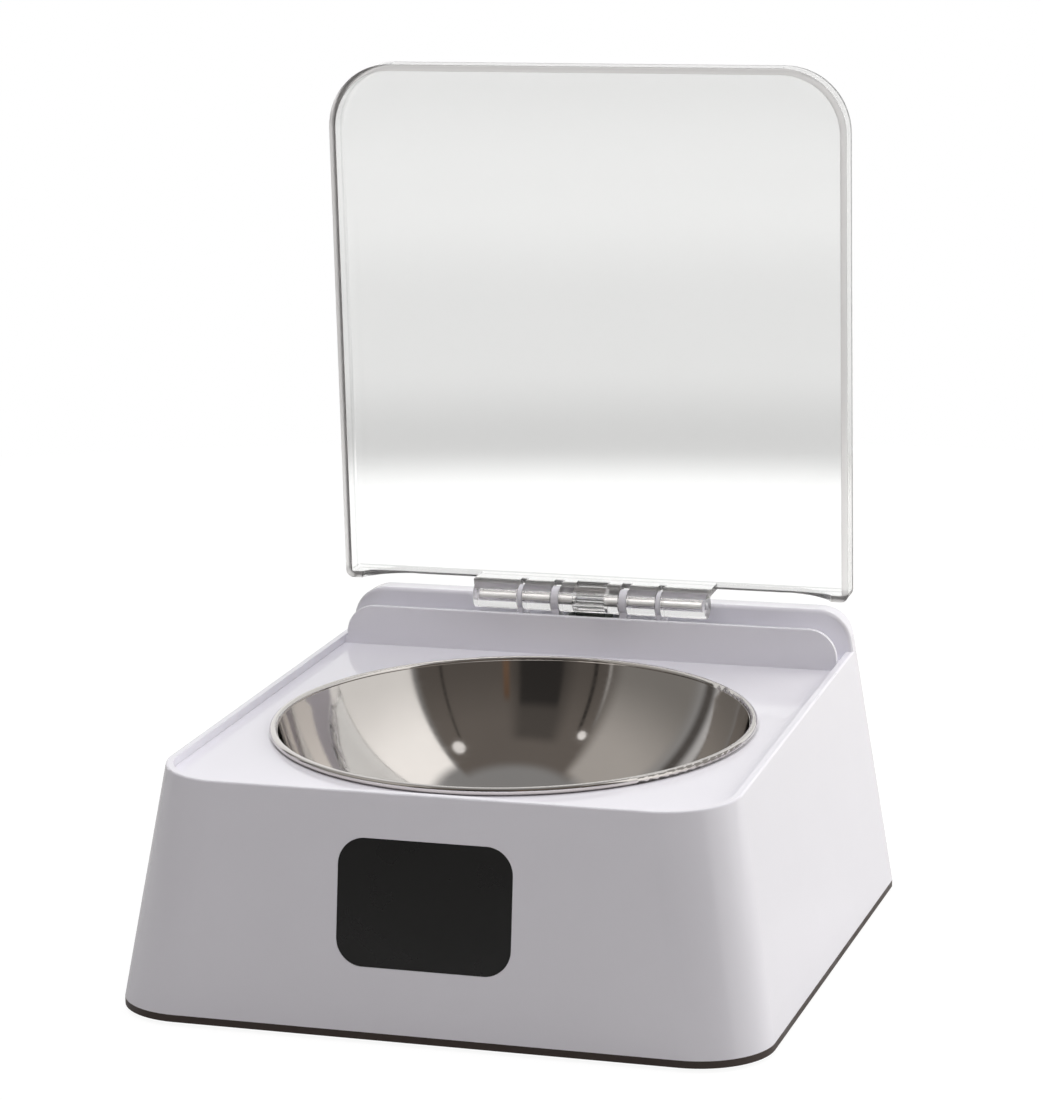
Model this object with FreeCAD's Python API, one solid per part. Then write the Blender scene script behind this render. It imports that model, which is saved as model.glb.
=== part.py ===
"""Motion sensor pet bowl: a motor lifts a clear lid off a steel bowl when the sensor sees a pet.

Millimetres. X runs across, the sensor window faces -Y, Z is up. The origin lies on the floor
under the middle of the body. The model stands with the lid open and the bowl seated.
"""
import FreeCAD, Part
import math
import os

V = FreeCAD.Vector
X_AXIS = V(1, 0, 0)

# Body shell
BODY_WIDTH = 236.0
BODY_DEPTH = 240.0
WALL = 2.5
SIDE_DRAFT = 0.165
FRONT_DRAFT = 0.115
REAR_DRAFT = 0.02
FRONT_CORNER = 27.0
REAR_CORNER = 5.0
LIP_FRONT_HEIGHT = 82.7
LIP_SLOPE = 0.045
LIP_WIDTH = 2.6
LIP_ROUND = 0.8
TRAY_RECESS = 3.55
HUMP_DEPTH = 9.8
HUMP_HEIGHT = 108.6
HUMP_CORNER = 14.0
HUMP_EDGE = 1.6
HUMP_ROOT = 5.0
RECESS_ROOT = 20.0

# Splash ridge in front of the hinge
TROUGH_WIDTH = 13.8
RIDGE_THICKNESS = 2.2
RIDGE_HEIGHT = 104.0
RIDGE_CORNER = 11.3
RIDGE_END_INSET = 4.75
RIDGE_EDGE_FLAT = 0.5
RIDGE_ROOT = 1.0
RIDGE_ROOT_DROP = 0.6

# Base plate and feet
BASE_BAND = 2.6
FOOT_PROUD = 1.5
FOOT_RADIUS = 8.0
FOOT_POCKET = 1.0
FOOT_SIDE_INSET = 26.0
FOOT_FRONT_INSET = 19.0
FOOT_REAR_INSET = 20.0
FOOT_EDGE = 0.6
FOOT_GAP = 0.1
BASE_RIB = 1.6
BASE_RIB_HEIGHT = 4.0
STAND_WALL = 2.0
STAND_MARGIN = 1.0
STAND_STEP = 6.0
BASE_ROOT = 0.5
FIT_GAP = 0.3

# Bowl, a part of a ball with a flat base and a rolled rim
BOWL_MOUTH_RADIUS = 86.1
BOWL_BASE_RADIUS = 43.7
BOWL_DEPTH = 54.0
BOWL_GAUGE = 0.8
BOWL_BASE_ROUND = 9.0
RIM_BEAD = 1.4
RIM_OVERHANG = 0.7
RIM_SEAT_GAP = 0.1
WELL_GAP = 2.0
WELL_WALL = 2.0
BOWL_HOLE_GAP = 0.45
WELL_TOP_DROP = 0.5
WELL_MOUTH = 3.0

# Lid
LID_SIDE_INSET = 2.05
LID_FRONT_OVERHANG = 0.5
LID_WALL = 2.5
LID_DEPTH = 12.4
LID_CORNER = 25.0
LID_REAR_CORNER = 3.0
LID_EDGE_ROUND = 3.0
LID_LEAN = 3.9
LID_HINGE_RISE = 3.85
LID_HINGE_BACK = 1.8
LID_HOOK = 6.0
LID_CUT_RUN = 22.0
LID_CUT_BEND_SIDE = 0.3
LID_CUT_BEND_DEPTH = 0.62
LID_INNER_CORNER = 0.5
LID_WEB = 1.0

# Hinge
HINGE_BEHIND_RIDGE = 4.0
HINGE_ABOVE_HUMP = 1.1
KNUCKLE_RADIUS = 5.1
PIN_RADIUS = 1.5
PIN_RUNNING = 0.06
PIN_PRESS = 0.01
CENTRE_KNUCKLE = 24.0
INNER_POST = 3.0
INNER_KNUCKLE = 11.3
OUTER_POST = 1.8
OUTER_KNUCKLE = 17.8
KNUCKLE_GAP = 0.3
POST_DEPTH = 6.4
POST_FOOT = 3.0
POST_FOOT_GAP = 1.0
POST_ROOT = 1.0
POST_HEAD_STEP = 0.2
PIN_REACH = 6.0
PIN_END_GAP = 0.3
KNUCKLE_END = 2.0
KNUCKLE_REAR_CLEAR = 0.4
KNUCKLE_CUT = 2.0
TOOTH_CUT = 9.0

# Gear train
MODULE = 0.6
PRESSURE_ANGLE = 25.0
BACKLASH = 0.12
LID_TEETH = 15
OUTPUT_TEETH = 24
PINION_TEETH = 12
SECOND_TEETH = 28
WHEEL_TEETH = 30
GEAR_WIDTH = 3.0
OUTPUT_WIDTH = 12.0
LID_TOOTH_OVERLAP = 0.4
DEDENDUM = 1.25
FLANK_STEPS = 4
SECOND_PINION_WIDTH = 3.5
SECOND_FRONT_CLEAR = 0.2
GEAR_STEP = 0.5
THIRD_WHEEL_START = -2.0
WHEEL_STEP = 1.0
GEAR_PLATE_GAP = 0.5
AXLE_RADIUS = 1.0
HUB_RADIUS = 2.0
AXLE_RUNNING = 0.05
SLOT_HALF_WIDTH = 12.2
SLOT_CLEAR = 0.3
SLOT_TOP_CLEAR = 0.4
SLOT_FRONT_SPARE = 0.2
SLOT_DROP = 8.0
GEAR_SIDE_CLEAR = 0.4
PLATE = 1.5
PLATE_HALF_SPAN = 10.0
GEARBOX_BOTTOM = 40.0
GEARBOX_FRONT_STEP = 5.0
GEARBOX_REAR_GAP = 0.8
GEARBOX_TOP_RISE = 4.0
GEARBOX_REAR_CUT = 6.0
GEARBOX_FRONT_CUT = 3.0
GEARBOX_NECK_GAP = 0.1
GEARBOX_SHOULDER_GAP = 0.4
PILLAR_RADIUS = 2.2
PILLAR_FRONT_INSET = 6.0
PILLAR_REAR_INSET = 3.5
PILLAR_MARGIN = 1.5
SCREW_RADIUS = 1.2
SCREW_HEAD_RADIUS = 2.0
SCREW_HEAD = 1.4
GEARBOX_SCREW_LENGTH = 9.0
DRIVER_SLOT = 0.6
DRIVER_SLOT_REACH = 3.0

# Motor
MOTOR_LENGTH = 25.0
MOTOR_RADIUS = 10.0
MOTOR_FLAT = 15.4
MOTOR_BOSS_RADIUS = 3.0
MOTOR_BOSS = 1.3
MOTOR_BOSS_GAP = 0.1
MOTOR_TAIL_RADIUS = 4.8
MOTOR_TAIL = 2.0
MOTOR_TAG_SPREAD = 7.0
MOTOR_TAG_LENGTH = 3.0
MOTOR_TAG_WIDTH = 2.4
MOTOR_TAG_THICKNESS = 0.6
SHAFT_TAIL_SPACE = 3.0
SHAFT_END_GAP = 0.2
SHAFT_PAST_PINION = 2.0

# Position switch on the gearbox
CAM_RADIUS = 3.8
CAM_LOBE = 5.2
CAM_WIDTH = 2.5
CAM_STEP = 0.5
CAM_SHAFT_GAP = 0.3
CAM_LOBE_RADIUS = 2.0
CAM_LOBE_TURN = -60.0
AXLE_PAST_CAM = 0.4
JOIN = 0.1
SWITCH_LENGTH = 12.8
SWITCH_THICKNESS = 5.8
SWITCH_DEPTH = 6.5
PLUNGER_BELOW_TOP = 3.4
PLUNGER_RADIUS = 1.0
PLUNGER_TRAVEL = 0.6
PLUNGER_INSIDE = 3.0
PLUNGER_PROUD = 2.4
PLUNGER_GAP = 0.1
PLUNGER_END_GAP = 0.2
SWITCH_TAG_PITCH = 4.4
SWITCH_TAG_LENGTH = 3.0
SWITCH_TAG_WIDTH = 1.8
SWITCH_TAG_THICKNESS = 0.5

# Sensor window and board
WINDOW_WIDTH = 62.6
WINDOW_HEIGHT = 44.5
WINDOW_CORNER = 9.5
WINDOW_RISE = 44.7
WINDOW_THICKNESS = 1.4
WINDOW_LEDGE = 3.0
WINDOW_GAP = 0.1
WINDOW_POCKET = 5.0
WINDOW_OPENING = 10.0
SENSOR_BOARD_WIDTH = 54.0
SENSOR_BOARD_HEIGHT = 36.0
BOARD_THICKNESS = 1.6
SENSOR_BOARD_BACK = 10.0
SENSOR_BOARD_EARS = 3.5
SENSOR_BOARD_CORNER = 2.0
SENSOR_PEG_OUT = 1.0
SENSOR_PEG_INSET = 3.0
PEG_ROOT = 0.5
LED_RADIUS = 2.5
LED_LENGTH = 6.2
LED_FLANGE_RADIUS = 2.9
LED_FLANGE = 1.0
LED_SPACING = 15.0
STANDOFF_RADIUS = 2.4

# Batteries
CELL_RADIUS = 7.25
CELL_LENGTH = 49.2
CELL_NUB_RADIUS = 2.7
CELL_NUB = 1.3
CELL_GAP = 0.5
CELL_EDGE = 0.6
CELL_CLEAR = 0.4
CELL_COUNT = 4
DOOR_THICKNESS = 2.0
DOOR_GAP = 0.4
DOOR_PIN_RADIUS = 0.8
DOOR_PIN = 1.4
DOOR_PIN_GAP = 0.05
DOOR_PIN_END_GAP = 0.2
DOOR_TOP_GAP = 0.2
DOOR_LEDGE = 1.4
GRIP_HALF_WIDTH = 8.0
GRIP_COUNT = 5
GRIP_START = 5.0
GRIP_PITCH = 2.2
GRIP_WIDTH = 1.0
GRIP_DEPTH = 0.5
NAIL_RADIUS = 9.0
NAIL_DROP = 8.0
NAIL_REACH = 6.5
NAIL_OVERLAP = 1.0
BAY_WALL = 1.5
BAY_END_SPACE = 4.5
CONTACT_THICKNESS = 0.4
CONTACT_HEIGHT_INSET = 1.0
CONTACT_SIDE_INSET = 0.8
SPRING_RADIUS = 3.6
SPRING_TAPER = 0.6
STUD_STEP = 0.6

# Control board
BOARD_WIDTH = 34.0
BOARD_LENGTH = 64.0
BOARD_CENTRE_X = 66.0
BOARD_CENTRE_Y = -6.0
BOARD_RISE = 6.0
BOARD_HOLE_INSET = 4.0
CHIP_WIDTH = 8.0
CHIP_LENGTH = 10.0
CHIP_HEIGHT = 1.8
CAPACITOR_RADIUS = 3.1
CAPACITOR_HEIGHT = 8.0
CAPACITOR_LEFT = (-9.0, 13.0)
CAPACITOR_RIGHT = (6.0, 14.0)
CONNECTOR_WIDTH = 6.0
CONNECTOR_DEPTH = 5.0
CONNECTOR_HEIGHT = 6.0
CONNECTOR_FRONT_INSET = 9.0
CONNECTOR_REAR_INSET = 6.0
CONNECTOR_SIDE_INSET = 4.5

# Power switch in the rear wall
POWER_X = 62.0
POWER_RISE = 34.0
POWER_BODY_WIDTH = 20.0
POWER_BODY_HEIGHT = 9.0
POWER_BODY_DEPTH = 7.0
POWER_SLOT_WIDTH = 9.6
POWER_SLOT_HEIGHT = 4.4
POWER_KNOB_WIDTH = 4.0
POWER_KNOB_HEIGHT = 3.6
POWER_TRAVEL = 2.0
POWER_KNOB_PROUD = 0.6
POWER_KNOB_EDGE = 0.5
POWER_WALL_GAP = 0.3
POWER_POCKET = 2.5

# Fasteners and wires
BOSS_RADIUS = 4.2
BOSS_SIDE_INSET = 28.0
BOSS_END_INSET = 36.0
BASE_SCREW_RADIUS = 1.5
BASE_SCREW_HEAD_RADIUS = 3.0
BASE_SCREW_HEAD = 1.6
BASE_SCREW_LENGTH = 14.0
BASE_SCREW_GAP = 0.2
BASE_SCREW_SUNK = 0.2
BASE_SCREW_END_GAP = 1.0
BASE_SCREW_JOIN = 0.01
CROSS_LENGTH = 3.6
CROSS_WIDTH = 0.7
CROSS_TOP = 1.0
BOSS_ROOT = 1.0
WIRE_DIAMETER = 2.0
BEND_SHARE = 0.45

# Heights above the floor
HOUSING_BOTTOM = FOOT_PROUD + BASE_BAND
LIP_FRONT_Y = -BODY_DEPTH / 2 + FRONT_DRAFT * LIP_FRONT_HEIGHT
LIP_FRONT_Z = HOUSING_BOTTOM + LIP_FRONT_HEIGHT
LIP_HALF_WIDTH = BODY_WIDTH / 2 - SIDE_DRAFT * LIP_FRONT_HEIGHT
HUMP_TOP = HOUSING_BOTTOM + HUMP_HEIGHT
HUMP_FRONT_Y = BODY_DEPTH / 2 - REAR_DRAFT * HUMP_HEIGHT - HUMP_DEPTH
RIDGE_REAR_Y = HUMP_FRONT_Y - TROUGH_WIDTH
RIDGE_FRONT_Y = RIDGE_REAR_Y - RIDGE_THICKNESS
RIDGE_HALF_WIDTH = LIP_HALF_WIDTH - RIDGE_END_INSET
HINGE_Y = RIDGE_REAR_Y + HINGE_BEHIND_RIDGE
HINGE_Z = HUMP_TOP + HINGE_ABOVE_HUMP
GEARBOX_FRONT_Y = RIDGE_FRONT_Y - GEARBOX_FRONT_STEP
GEARBOX_REAR_Y = BODY_DEPTH / 2 - REAR_DRAFT * HUMP_HEIGHT - WALL - GEARBOX_REAR_GAP
LID_WIDTH = 2 * (LIP_HALF_WIDTH - LID_SIDE_INSET)
LID_LENGTH = HINGE_Y - LIP_FRONT_Y - LID_HINGE_RISE + LID_FRONT_OVERHANG
SLOPE_DEGREES = math.degrees(math.atan(LIP_SLOPE))
BOWL_Y = (LIP_FRONT_Y + LIP_WIDTH + RIDGE_FRONT_Y) / 2
BOWL_BALL_RISE = (BOWL_MOUTH_RADIUS ** 2 - BOWL_BASE_RADIUS ** 2 - BOWL_DEPTH ** 2) / (2 * BOWL_DEPTH)
BOWL_BALL = math.sqrt(BOWL_MOUTH_RADIUS ** 2 + BOWL_BALL_RISE ** 2)
RIM_RADIUS = math.sqrt((BOWL_BALL + BOWL_GAUGE) ** 2 - (BOWL_BALL_RISE - RIM_BEAD) ** 2) + RIM_OVERHANG
FAR = 400.0
PAST = 1.0
LOFT_TOP = HUMP_HEIGHT + 12.0
TINY = 0.01
NEAR = 0.05


def lip_z(y):
    """Height of the lip's top plane at a depth."""
    return LIP_FRONT_Z + LIP_SLOPE * (y - LIP_FRONT_Y)


def tray_z(y):
    """Height of the tray's floor plane at a depth."""
    return lip_z(y) - TRAY_RECESS


def shelf_z(y):
    """Height of the tray's underside at a depth."""
    return tray_z(y) - WALL


def box(x0, x1, y0, y1, z0, z1):
    """Block between two corners."""
    return Part.makeBox(x1 - x0, y1 - y0, z1 - z0, V(x0, y0, z0))


def rod(radius, start, end):
    """Cylinder from one point to another."""
    run = V(*end) - V(*start)
    return Part.makeCylinder(radius, run.Length, V(*start), run)


def prism(points, direction):
    """Solid from a polygon pushed along a direction."""
    corners = [V(*p) for p in points]
    wire = Part.makePolygon(corners + corners[:1])
    return Part.Face(wire).extrude(direction)


def corner_arc(centre, radius, angle, to_point):
    """Quarter arc that starts at an angle in degrees."""
    ends = [to_point(centre, radius, math.radians(angle + turn)) for turn in (0, 45, 90)]
    return Part.Arc(*ends).toShape()


def rounded_outline(half_width, front, rear, r_front, r_rear, z):
    """Closed wire at one height: a rectangle with its own radius at front and rear corners."""
    def point(centre, radius, angle):
        return V(centre[0] + radius * math.cos(angle), centre[1] + radius * math.sin(angle), z)

    corners = [
        ((half_width - r_front, front + r_front), r_front, 270),
        ((half_width - r_rear, rear - r_rear), r_rear, 0),
        ((-half_width + r_rear, rear - r_rear), r_rear, 90),
        ((-half_width + r_front, front + r_front), r_front, 180),
    ]
    edges = []
    for index, (centre, radius, angle) in enumerate(corners):
        arc = corner_arc(centre, radius, angle, point)
        following = corners[(index + 1) % 4]
        start = point(centre, radius, math.radians(angle + 90))
        end = point(following[0], following[1], math.radians(following[2]))
        edges += [arc, Part.LineSegment(start, end).toShape()]
    return Part.Wire(edges)


def rounded_plate(width, height, radius, thickness):
    """Flat plate with rounded corners, centred on the origin, lying in XY and growing up."""
    wire = rounded_outline(width / 2, -height / 2, height / 2, radius, radius, 0)
    return Part.Face(wire).extrude(V(0, 0, thickness))


def body_outline(height, inset):
    """Outline of the body at a height above the housing's bottom edge, moved in by an inset."""
    rear_radius = max(REAR_CORNER - inset, 1.0)
    return rounded_outline(
        BODY_WIDTH / 2 - SIDE_DRAFT * height - inset,
        -BODY_DEPTH / 2 + FRONT_DRAFT * height + inset,
        BODY_DEPTH / 2 - REAR_DRAFT * height - inset,
        FRONT_CORNER - inset,
        rear_radius,
        HOUSING_BOTTOM + height,
    )


def body_block(inset, low, high):
    """Tapered block of the body's outline between two heights above the housing's bottom."""
    return Part.makeLoft([body_outline(low, inset), body_outline(high, inset)], True, True)


def above_plane(height_at, rear_y, shift):
    """Everything over a sloped plane, up to a depth, to be cut away."""
    front_y = -BODY_DEPTH
    points = [
        (-FAR / 2, front_y, height_at(front_y) + shift),
        (-FAR / 2, rear_y, height_at(rear_y) + shift),
        (-FAR / 2, rear_y, FAR),
        (-FAR / 2, front_y, FAR),
    ]
    return prism(points, V(FAR, 0, 0))


def hump_arch(inset):
    """Space under the hump's rounded shoulders, as a prism along Y."""
    radius = HUMP_CORNER - inset
    top = HUMP_TOP - inset
    side_angle = math.atan(SIDE_DRAFT)
    half_bottom = BODY_WIDTH / 2 - inset * math.sqrt(1 + SIDE_DRAFT ** 2)
    centre_z = top - radius
    centre_x = half_bottom - SIDE_DRAFT * (centre_z - HOUSING_BOTTOM) - radius / math.cos(side_angle)
    overshoot = 0.1
    centre_x += overshoot
    low = HOUSING_BOTTOM - PAST
    wide = BODY_WIDTH
    y = -BODY_DEPTH

    def ring(sign):
        angles = (side_angle, (side_angle + math.pi / 2) / 2, math.pi / 2)
        return [V(sign * (centre_x + radius * math.cos(a)), y, centre_z + radius * math.sin(a)) for a in angles]

    right, left = ring(1), ring(-1)
    corners = [V(-wide, y, low), V(wide, y, low), V(wide, y, right[0].z), right[0]]
    edges = [Part.LineSegment(a, b).toShape() for a, b in zip(corners, corners[1:])]
    edges.append(Part.Arc(*right).toShape())
    edges.append(Part.LineSegment(right[2], left[2]).toShape())
    edges.append(Part.Arc(left[2], left[1], left[0]).toShape())
    edges.append(Part.LineSegment(left[0], V(-wide, y, left[0].z)).toShape())
    edges.append(Part.LineSegment(V(-wide, y, left[0].z), corners[0]).toShape())
    return Part.Face(Part.Wire(edges)).extrude(V(0, 2 * BODY_DEPTH, 0))


def to_tray(shape):
    """Tilt a shape built about the bowl's axis, with its zero plane on the tray."""
    placed = shape.copy()
    placed.rotate(V(0, 0, 0), X_AXIS, SLOPE_DEGREES)
    placed.translate(V(0, BOWL_Y, tray_z(BOWL_Y)))
    return placed


def ball_cup(ball, depth, top, base_round):
    """Solid of a ball cut flat below and above, with its lower edge rounded."""
    ball_solid = Part.makeSphere(ball, V(0, 0, BOWL_BALL_RISE))
    cup = ball_solid.common(Part.makeCylinder(ball * 2, depth + top, V(0, 0, -depth)))
    base_edges = [e for e in cup.Edges if abs(e.BoundBox.ZMax + depth) < TINY and e.BoundBox.XLength > ball / 2]
    return cup.makeFillet(base_round, base_edges)


def front_wall_point(height, inward):
    """Point on the front wall's middle line, moved in square to the wall."""
    lean = math.atan(FRONT_DRAFT)
    y = -BODY_DEPTH / 2 + FRONT_DRAFT * height + inward * math.cos(lean)
    return V(0, y, HOUSING_BOTTOM + height - inward * math.sin(lean))


def to_front_wall(shape, inward):
    """Put a plate built in XY, growing up, on the front wall so that it grows outwards."""
    placed = shape.copy()
    placed.rotate(V(0, 0, 0), X_AXIS, 90 - math.degrees(math.atan(FRONT_DRAFT)))
    placed.translate(front_wall_point(WINDOW_RISE, inward))
    return placed


def pick_edges(shape, test):
    """Edges whose box passes a test."""
    return [e for e in shape.Edges if test(e.BoundBox)]


# Gears, all turning about axes along X

def pitch_radius(teeth):
    """Pitch radius of a gear."""
    return MODULE * teeth / 2


def involute(angle):
    """Involute function."""
    return math.tan(angle) - angle


def gear(teeth, centre, x0, x1, tooth_angle):
    """Spur gear with one tooth's middle at an angle in radians from +Y towards +Z."""
    pitch = pitch_radius(teeth)
    base = pitch * math.cos(math.radians(PRESSURE_ANGLE))
    root = pitch - DEDENDUM * MODULE
    tip = pitch + MODULE
    half_at_pitch = (math.pi * MODULE / 2 - BACKLASH) / 2 / pitch + involute(math.radians(PRESSURE_ANGLE))
    start = max(base, root)
    radii = [start + (tip - start) * i / FLANK_STEPS for i in range(FLANK_STEPS + 1)]
    flank = [(r, half_at_pitch - involute(math.acos(min(base / r, 1.0)))) for r in radii]
    if root < base:
        flank.insert(0, (root, flank[0][1]))
    points = []
    for index in range(teeth):
        middle = tooth_angle + 2 * math.pi * index / teeth
        for radius, half in flank:
            points.append((radius, middle - half))
        for radius, half in reversed(flank):
            points.append((radius, middle + half))
    corners = [(x0, centre[0] + r * math.cos(a), centre[1] + r * math.sin(a)) for r, a in points]
    return prism(corners, V(x1 - x0, 0, 0))


def meshing_angle(teeth_a, centre_a, angle_a, teeth_b, centre_b):
    """Tooth angle for gear B so that its gaps meet the teeth of gear A."""
    line = math.atan2(centre_b[1] - centre_a[1], centre_b[0] - centre_a[0])
    arc_a = pitch_radius(teeth_a) * (angle_a - line)
    return line + math.pi - (arc_a + math.pi * MODULE / 2) / pitch_radius(teeth_b)


def below(centre, distance, y):
    """Gear centre at a distance below another one, at a chosen depth."""
    return (y, centre[1] - math.sqrt(distance ** 2 - (y - centre[0]) ** 2))


LID_AXIS = (HINGE_Y, HINGE_Z)
OUTPUT_TIP = pitch_radius(OUTPUT_TEETH) + MODULE
SECOND_TIP = pitch_radius(SECOND_TEETH) + MODULE
WHEEL_TIP = pitch_radius(WHEEL_TEETH) + MODULE
OUTPUT_AXIS = below(
    LID_AXIS,
    pitch_radius(LID_TEETH) + pitch_radius(OUTPUT_TEETH),
    RIDGE_REAR_Y + GEAR_SIDE_CLEAR + OUTPUT_TIP,
)
SECOND_AXIS = below(
    OUTPUT_AXIS,
    pitch_radius(OUTPUT_TEETH) + pitch_radius(PINION_TEETH),
    RIDGE_REAR_Y + GEAR_SIDE_CLEAR + SECOND_TIP + SECOND_FRONT_CLEAR,
)
THIRD_AXIS = below(
    SECOND_AXIS,
    pitch_radius(SECOND_TEETH) + pitch_radius(PINION_TEETH),
    GEARBOX_REAR_Y - GEAR_SIDE_CLEAR - WHEEL_TIP,
)
FOURTH_AXIS = below(THIRD_AXIS, pitch_radius(WHEEL_TEETH) + pitch_radius(PINION_TEETH), THIRD_AXIS[0])
MOTOR_AXIS = below(FOURTH_AXIS, pitch_radius(WHEEL_TEETH) + pitch_radius(PINION_TEETH), THIRD_AXIS[0])

# Stations of the gears along X
OUTPUT_X = (-OUTPUT_WIDTH / 2, OUTPUT_WIDTH / 2)
LID_TEETH_X = (OUTPUT_X[0] - LID_TOOTH_OVERLAP, OUTPUT_X[1] + LID_TOOTH_OVERLAP)
SECOND_PINION_X = (OUTPUT_X[1] - SECOND_PINION_WIDTH, OUTPUT_X[1])
SECOND_WHEEL_X = (OUTPUT_X[1] + GEAR_STEP, OUTPUT_X[1] + GEAR_STEP + GEAR_WIDTH)
THIRD_WHEEL_X = (THIRD_WHEEL_START, THIRD_WHEEL_START + GEAR_WIDTH)
FOURTH_WHEEL_X = (THIRD_WHEEL_START - WHEEL_STEP - GEAR_WIDTH, THIRD_WHEEL_START - WHEEL_STEP)
HUB_END = PLATE_HALF_SPAN - GEAR_PLATE_GAP
CAM_X = PLATE_HALF_SPAN + PLATE + CAM_STEP

# Tooth angles, so that each pair is in mesh with the lid open
LID_TOOTH_ANGLE = math.radians(LID_LEAN)
OUTPUT_TOOTH_ANGLE = meshing_angle(LID_TEETH, LID_AXIS, LID_TOOTH_ANGLE, OUTPUT_TEETH, OUTPUT_AXIS)
SECOND_PINION_ANGLE = meshing_angle(
    OUTPUT_TEETH, OUTPUT_AXIS, OUTPUT_TOOTH_ANGLE, PINION_TEETH, SECOND_AXIS)
THIRD_PINION_ANGLE = meshing_angle(SECOND_TEETH, SECOND_AXIS, 0, PINION_TEETH, THIRD_AXIS)
FOURTH_PINION_ANGLE = meshing_angle(WHEEL_TEETH, THIRD_AXIS, 0, PINION_TEETH, FOURTH_AXIS)
MOTOR_PINION_ANGLE = meshing_angle(WHEEL_TEETH, FOURTH_AXIS, 0, PINION_TEETH, MOTOR_AXIS)


def cross_rod(radius, centre, x0, x1):
    """Cylinder along X at a gear centre."""
    return rod(radius, (x0, centre[0], centre[1]), (x1, centre[0], centre[1]))


def output_gear():
    """Wide gear between the lid's moulded teeth and the gearbox."""
    wheel = gear(OUTPUT_TEETH, OUTPUT_AXIS, *OUTPUT_X, OUTPUT_TOOTH_ANGLE)
    wheel = wheel.fuse(cross_rod(HUB_RADIUS, OUTPUT_AXIS, -HUB_END, OUTPUT_X[0]))
    return wheel.cut(cross_rod(AXLE_RADIUS + AXLE_RUNNING, OUTPUT_AXIS, -FAR, FAR))


def compound(axis, pinion_x, pinion_angle, wheel_teeth, wheel_x):
    """Pinion and wheel in one piece, with a hub that fills the space between the plates."""
    part = gear(PINION_TEETH, axis, *pinion_x, pinion_angle)
    part = part.fuse(gear(wheel_teeth, axis, *wheel_x, 0))
    part = part.fuse(cross_rod(HUB_RADIUS, axis, -HUB_END, HUB_END))
    return part.cut(cross_rod(AXLE_RADIUS + AXLE_RUNNING, axis, -FAR, FAR))


def second_gear():
    """Second stage."""
    return compound(SECOND_AXIS, SECOND_PINION_X, SECOND_PINION_ANGLE, SECOND_TEETH, SECOND_WHEEL_X)


def third_gear():
    """Third stage. Its shaft runs out through the cover and carries the position cam."""
    part = gear(PINION_TEETH, THIRD_AXIS, *SECOND_WHEEL_X, THIRD_PINION_ANGLE)
    part = part.fuse(gear(WHEEL_TEETH, THIRD_AXIS, *THIRD_WHEEL_X, 0))
    part = part.fuse(cross_rod(HUB_RADIUS, THIRD_AXIS, -HUB_END, CAM_X + JOIN))
    part = part.fuse(cross_rod(CAM_RADIUS, THIRD_AXIS, CAM_X, CAM_X + CAM_WIDTH))
    lobe_turn = math.radians(CAM_LOBE_TURN)
    lobe_reach = CAM_LOBE - CAM_LOBE_RADIUS
    lobe_centre = (
        THIRD_AXIS[0] + lobe_reach * math.cos(lobe_turn),
        THIRD_AXIS[1] + lobe_reach * math.sin(lobe_turn),
    )
    part = part.fuse(cross_rod(CAM_LOBE_RADIUS, lobe_centre, CAM_X, CAM_X + CAM_WIDTH))
    return part.cut(cross_rod(AXLE_RADIUS + AXLE_RUNNING, THIRD_AXIS, -FAR, FAR))


def fourth_gear():
    """Fourth stage, driven by the motor."""
    return compound(FOURTH_AXIS, THIRD_WHEEL_X, FOURTH_PINION_ANGLE, WHEEL_TEETH, FOURTH_WHEEL_X)


def motor_rotor():
    """Motor shaft with its brass pinion."""
    face_x = -PLATE_HALF_SPAN - PLATE
    pinion_x = (FOURTH_WHEEL_X[0] - GEAR_STEP, FOURTH_WHEEL_X[1] + GEAR_STEP)
    pinion = gear(PINION_TEETH, MOTOR_AXIS, *pinion_x, MOTOR_PINION_ANGLE)
    shaft_x = (face_x - MOTOR_LENGTH + SHAFT_TAIL_SPACE, FOURTH_WHEEL_X[1] + SHAFT_PAST_PINION)
    return pinion.fuse(cross_rod(AXLE_RADIUS, MOTOR_AXIS, *shaft_x))


def gear_axles():
    """Steel axles pressed into both gearbox plates, and the longer one under the cam."""
    end = PLATE_HALF_SPAN + PLATE
    cam_end = CAM_X + CAM_WIDTH + AXLE_PAST_CAM
    return [
        cross_rod(AXLE_RADIUS, OUTPUT_AXIS, -end, end),
        cross_rod(AXLE_RADIUS, SECOND_AXIS, -end, end),
        cross_rod(AXLE_RADIUS, THIRD_AXIS, -end, cam_end),
        cross_rod(AXLE_RADIUS, FOURTH_AXIS, -end, end),
    ]


SWITCH_TOP = THIRD_AXIS[1] + PLUNGER_BELOW_TOP
LOW_PILLAR_Z = GEARBOX_BOTTOM + PILLAR_RADIUS + PILLAR_MARGIN
PILLARS = [
    (GEARBOX_FRONT_Y + PILLAR_FRONT_INSET, LOW_PILLAR_Z),
    (GEARBOX_REAR_Y - PILLAR_REAR_INSET, LOW_PILLAR_Z),
    (GEARBOX_FRONT_Y + PILLAR_RADIUS, SWITCH_TOP - SWITCH_LENGTH - SCREW_HEAD_RADIUS - PILLAR_MARGIN),
]


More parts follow.
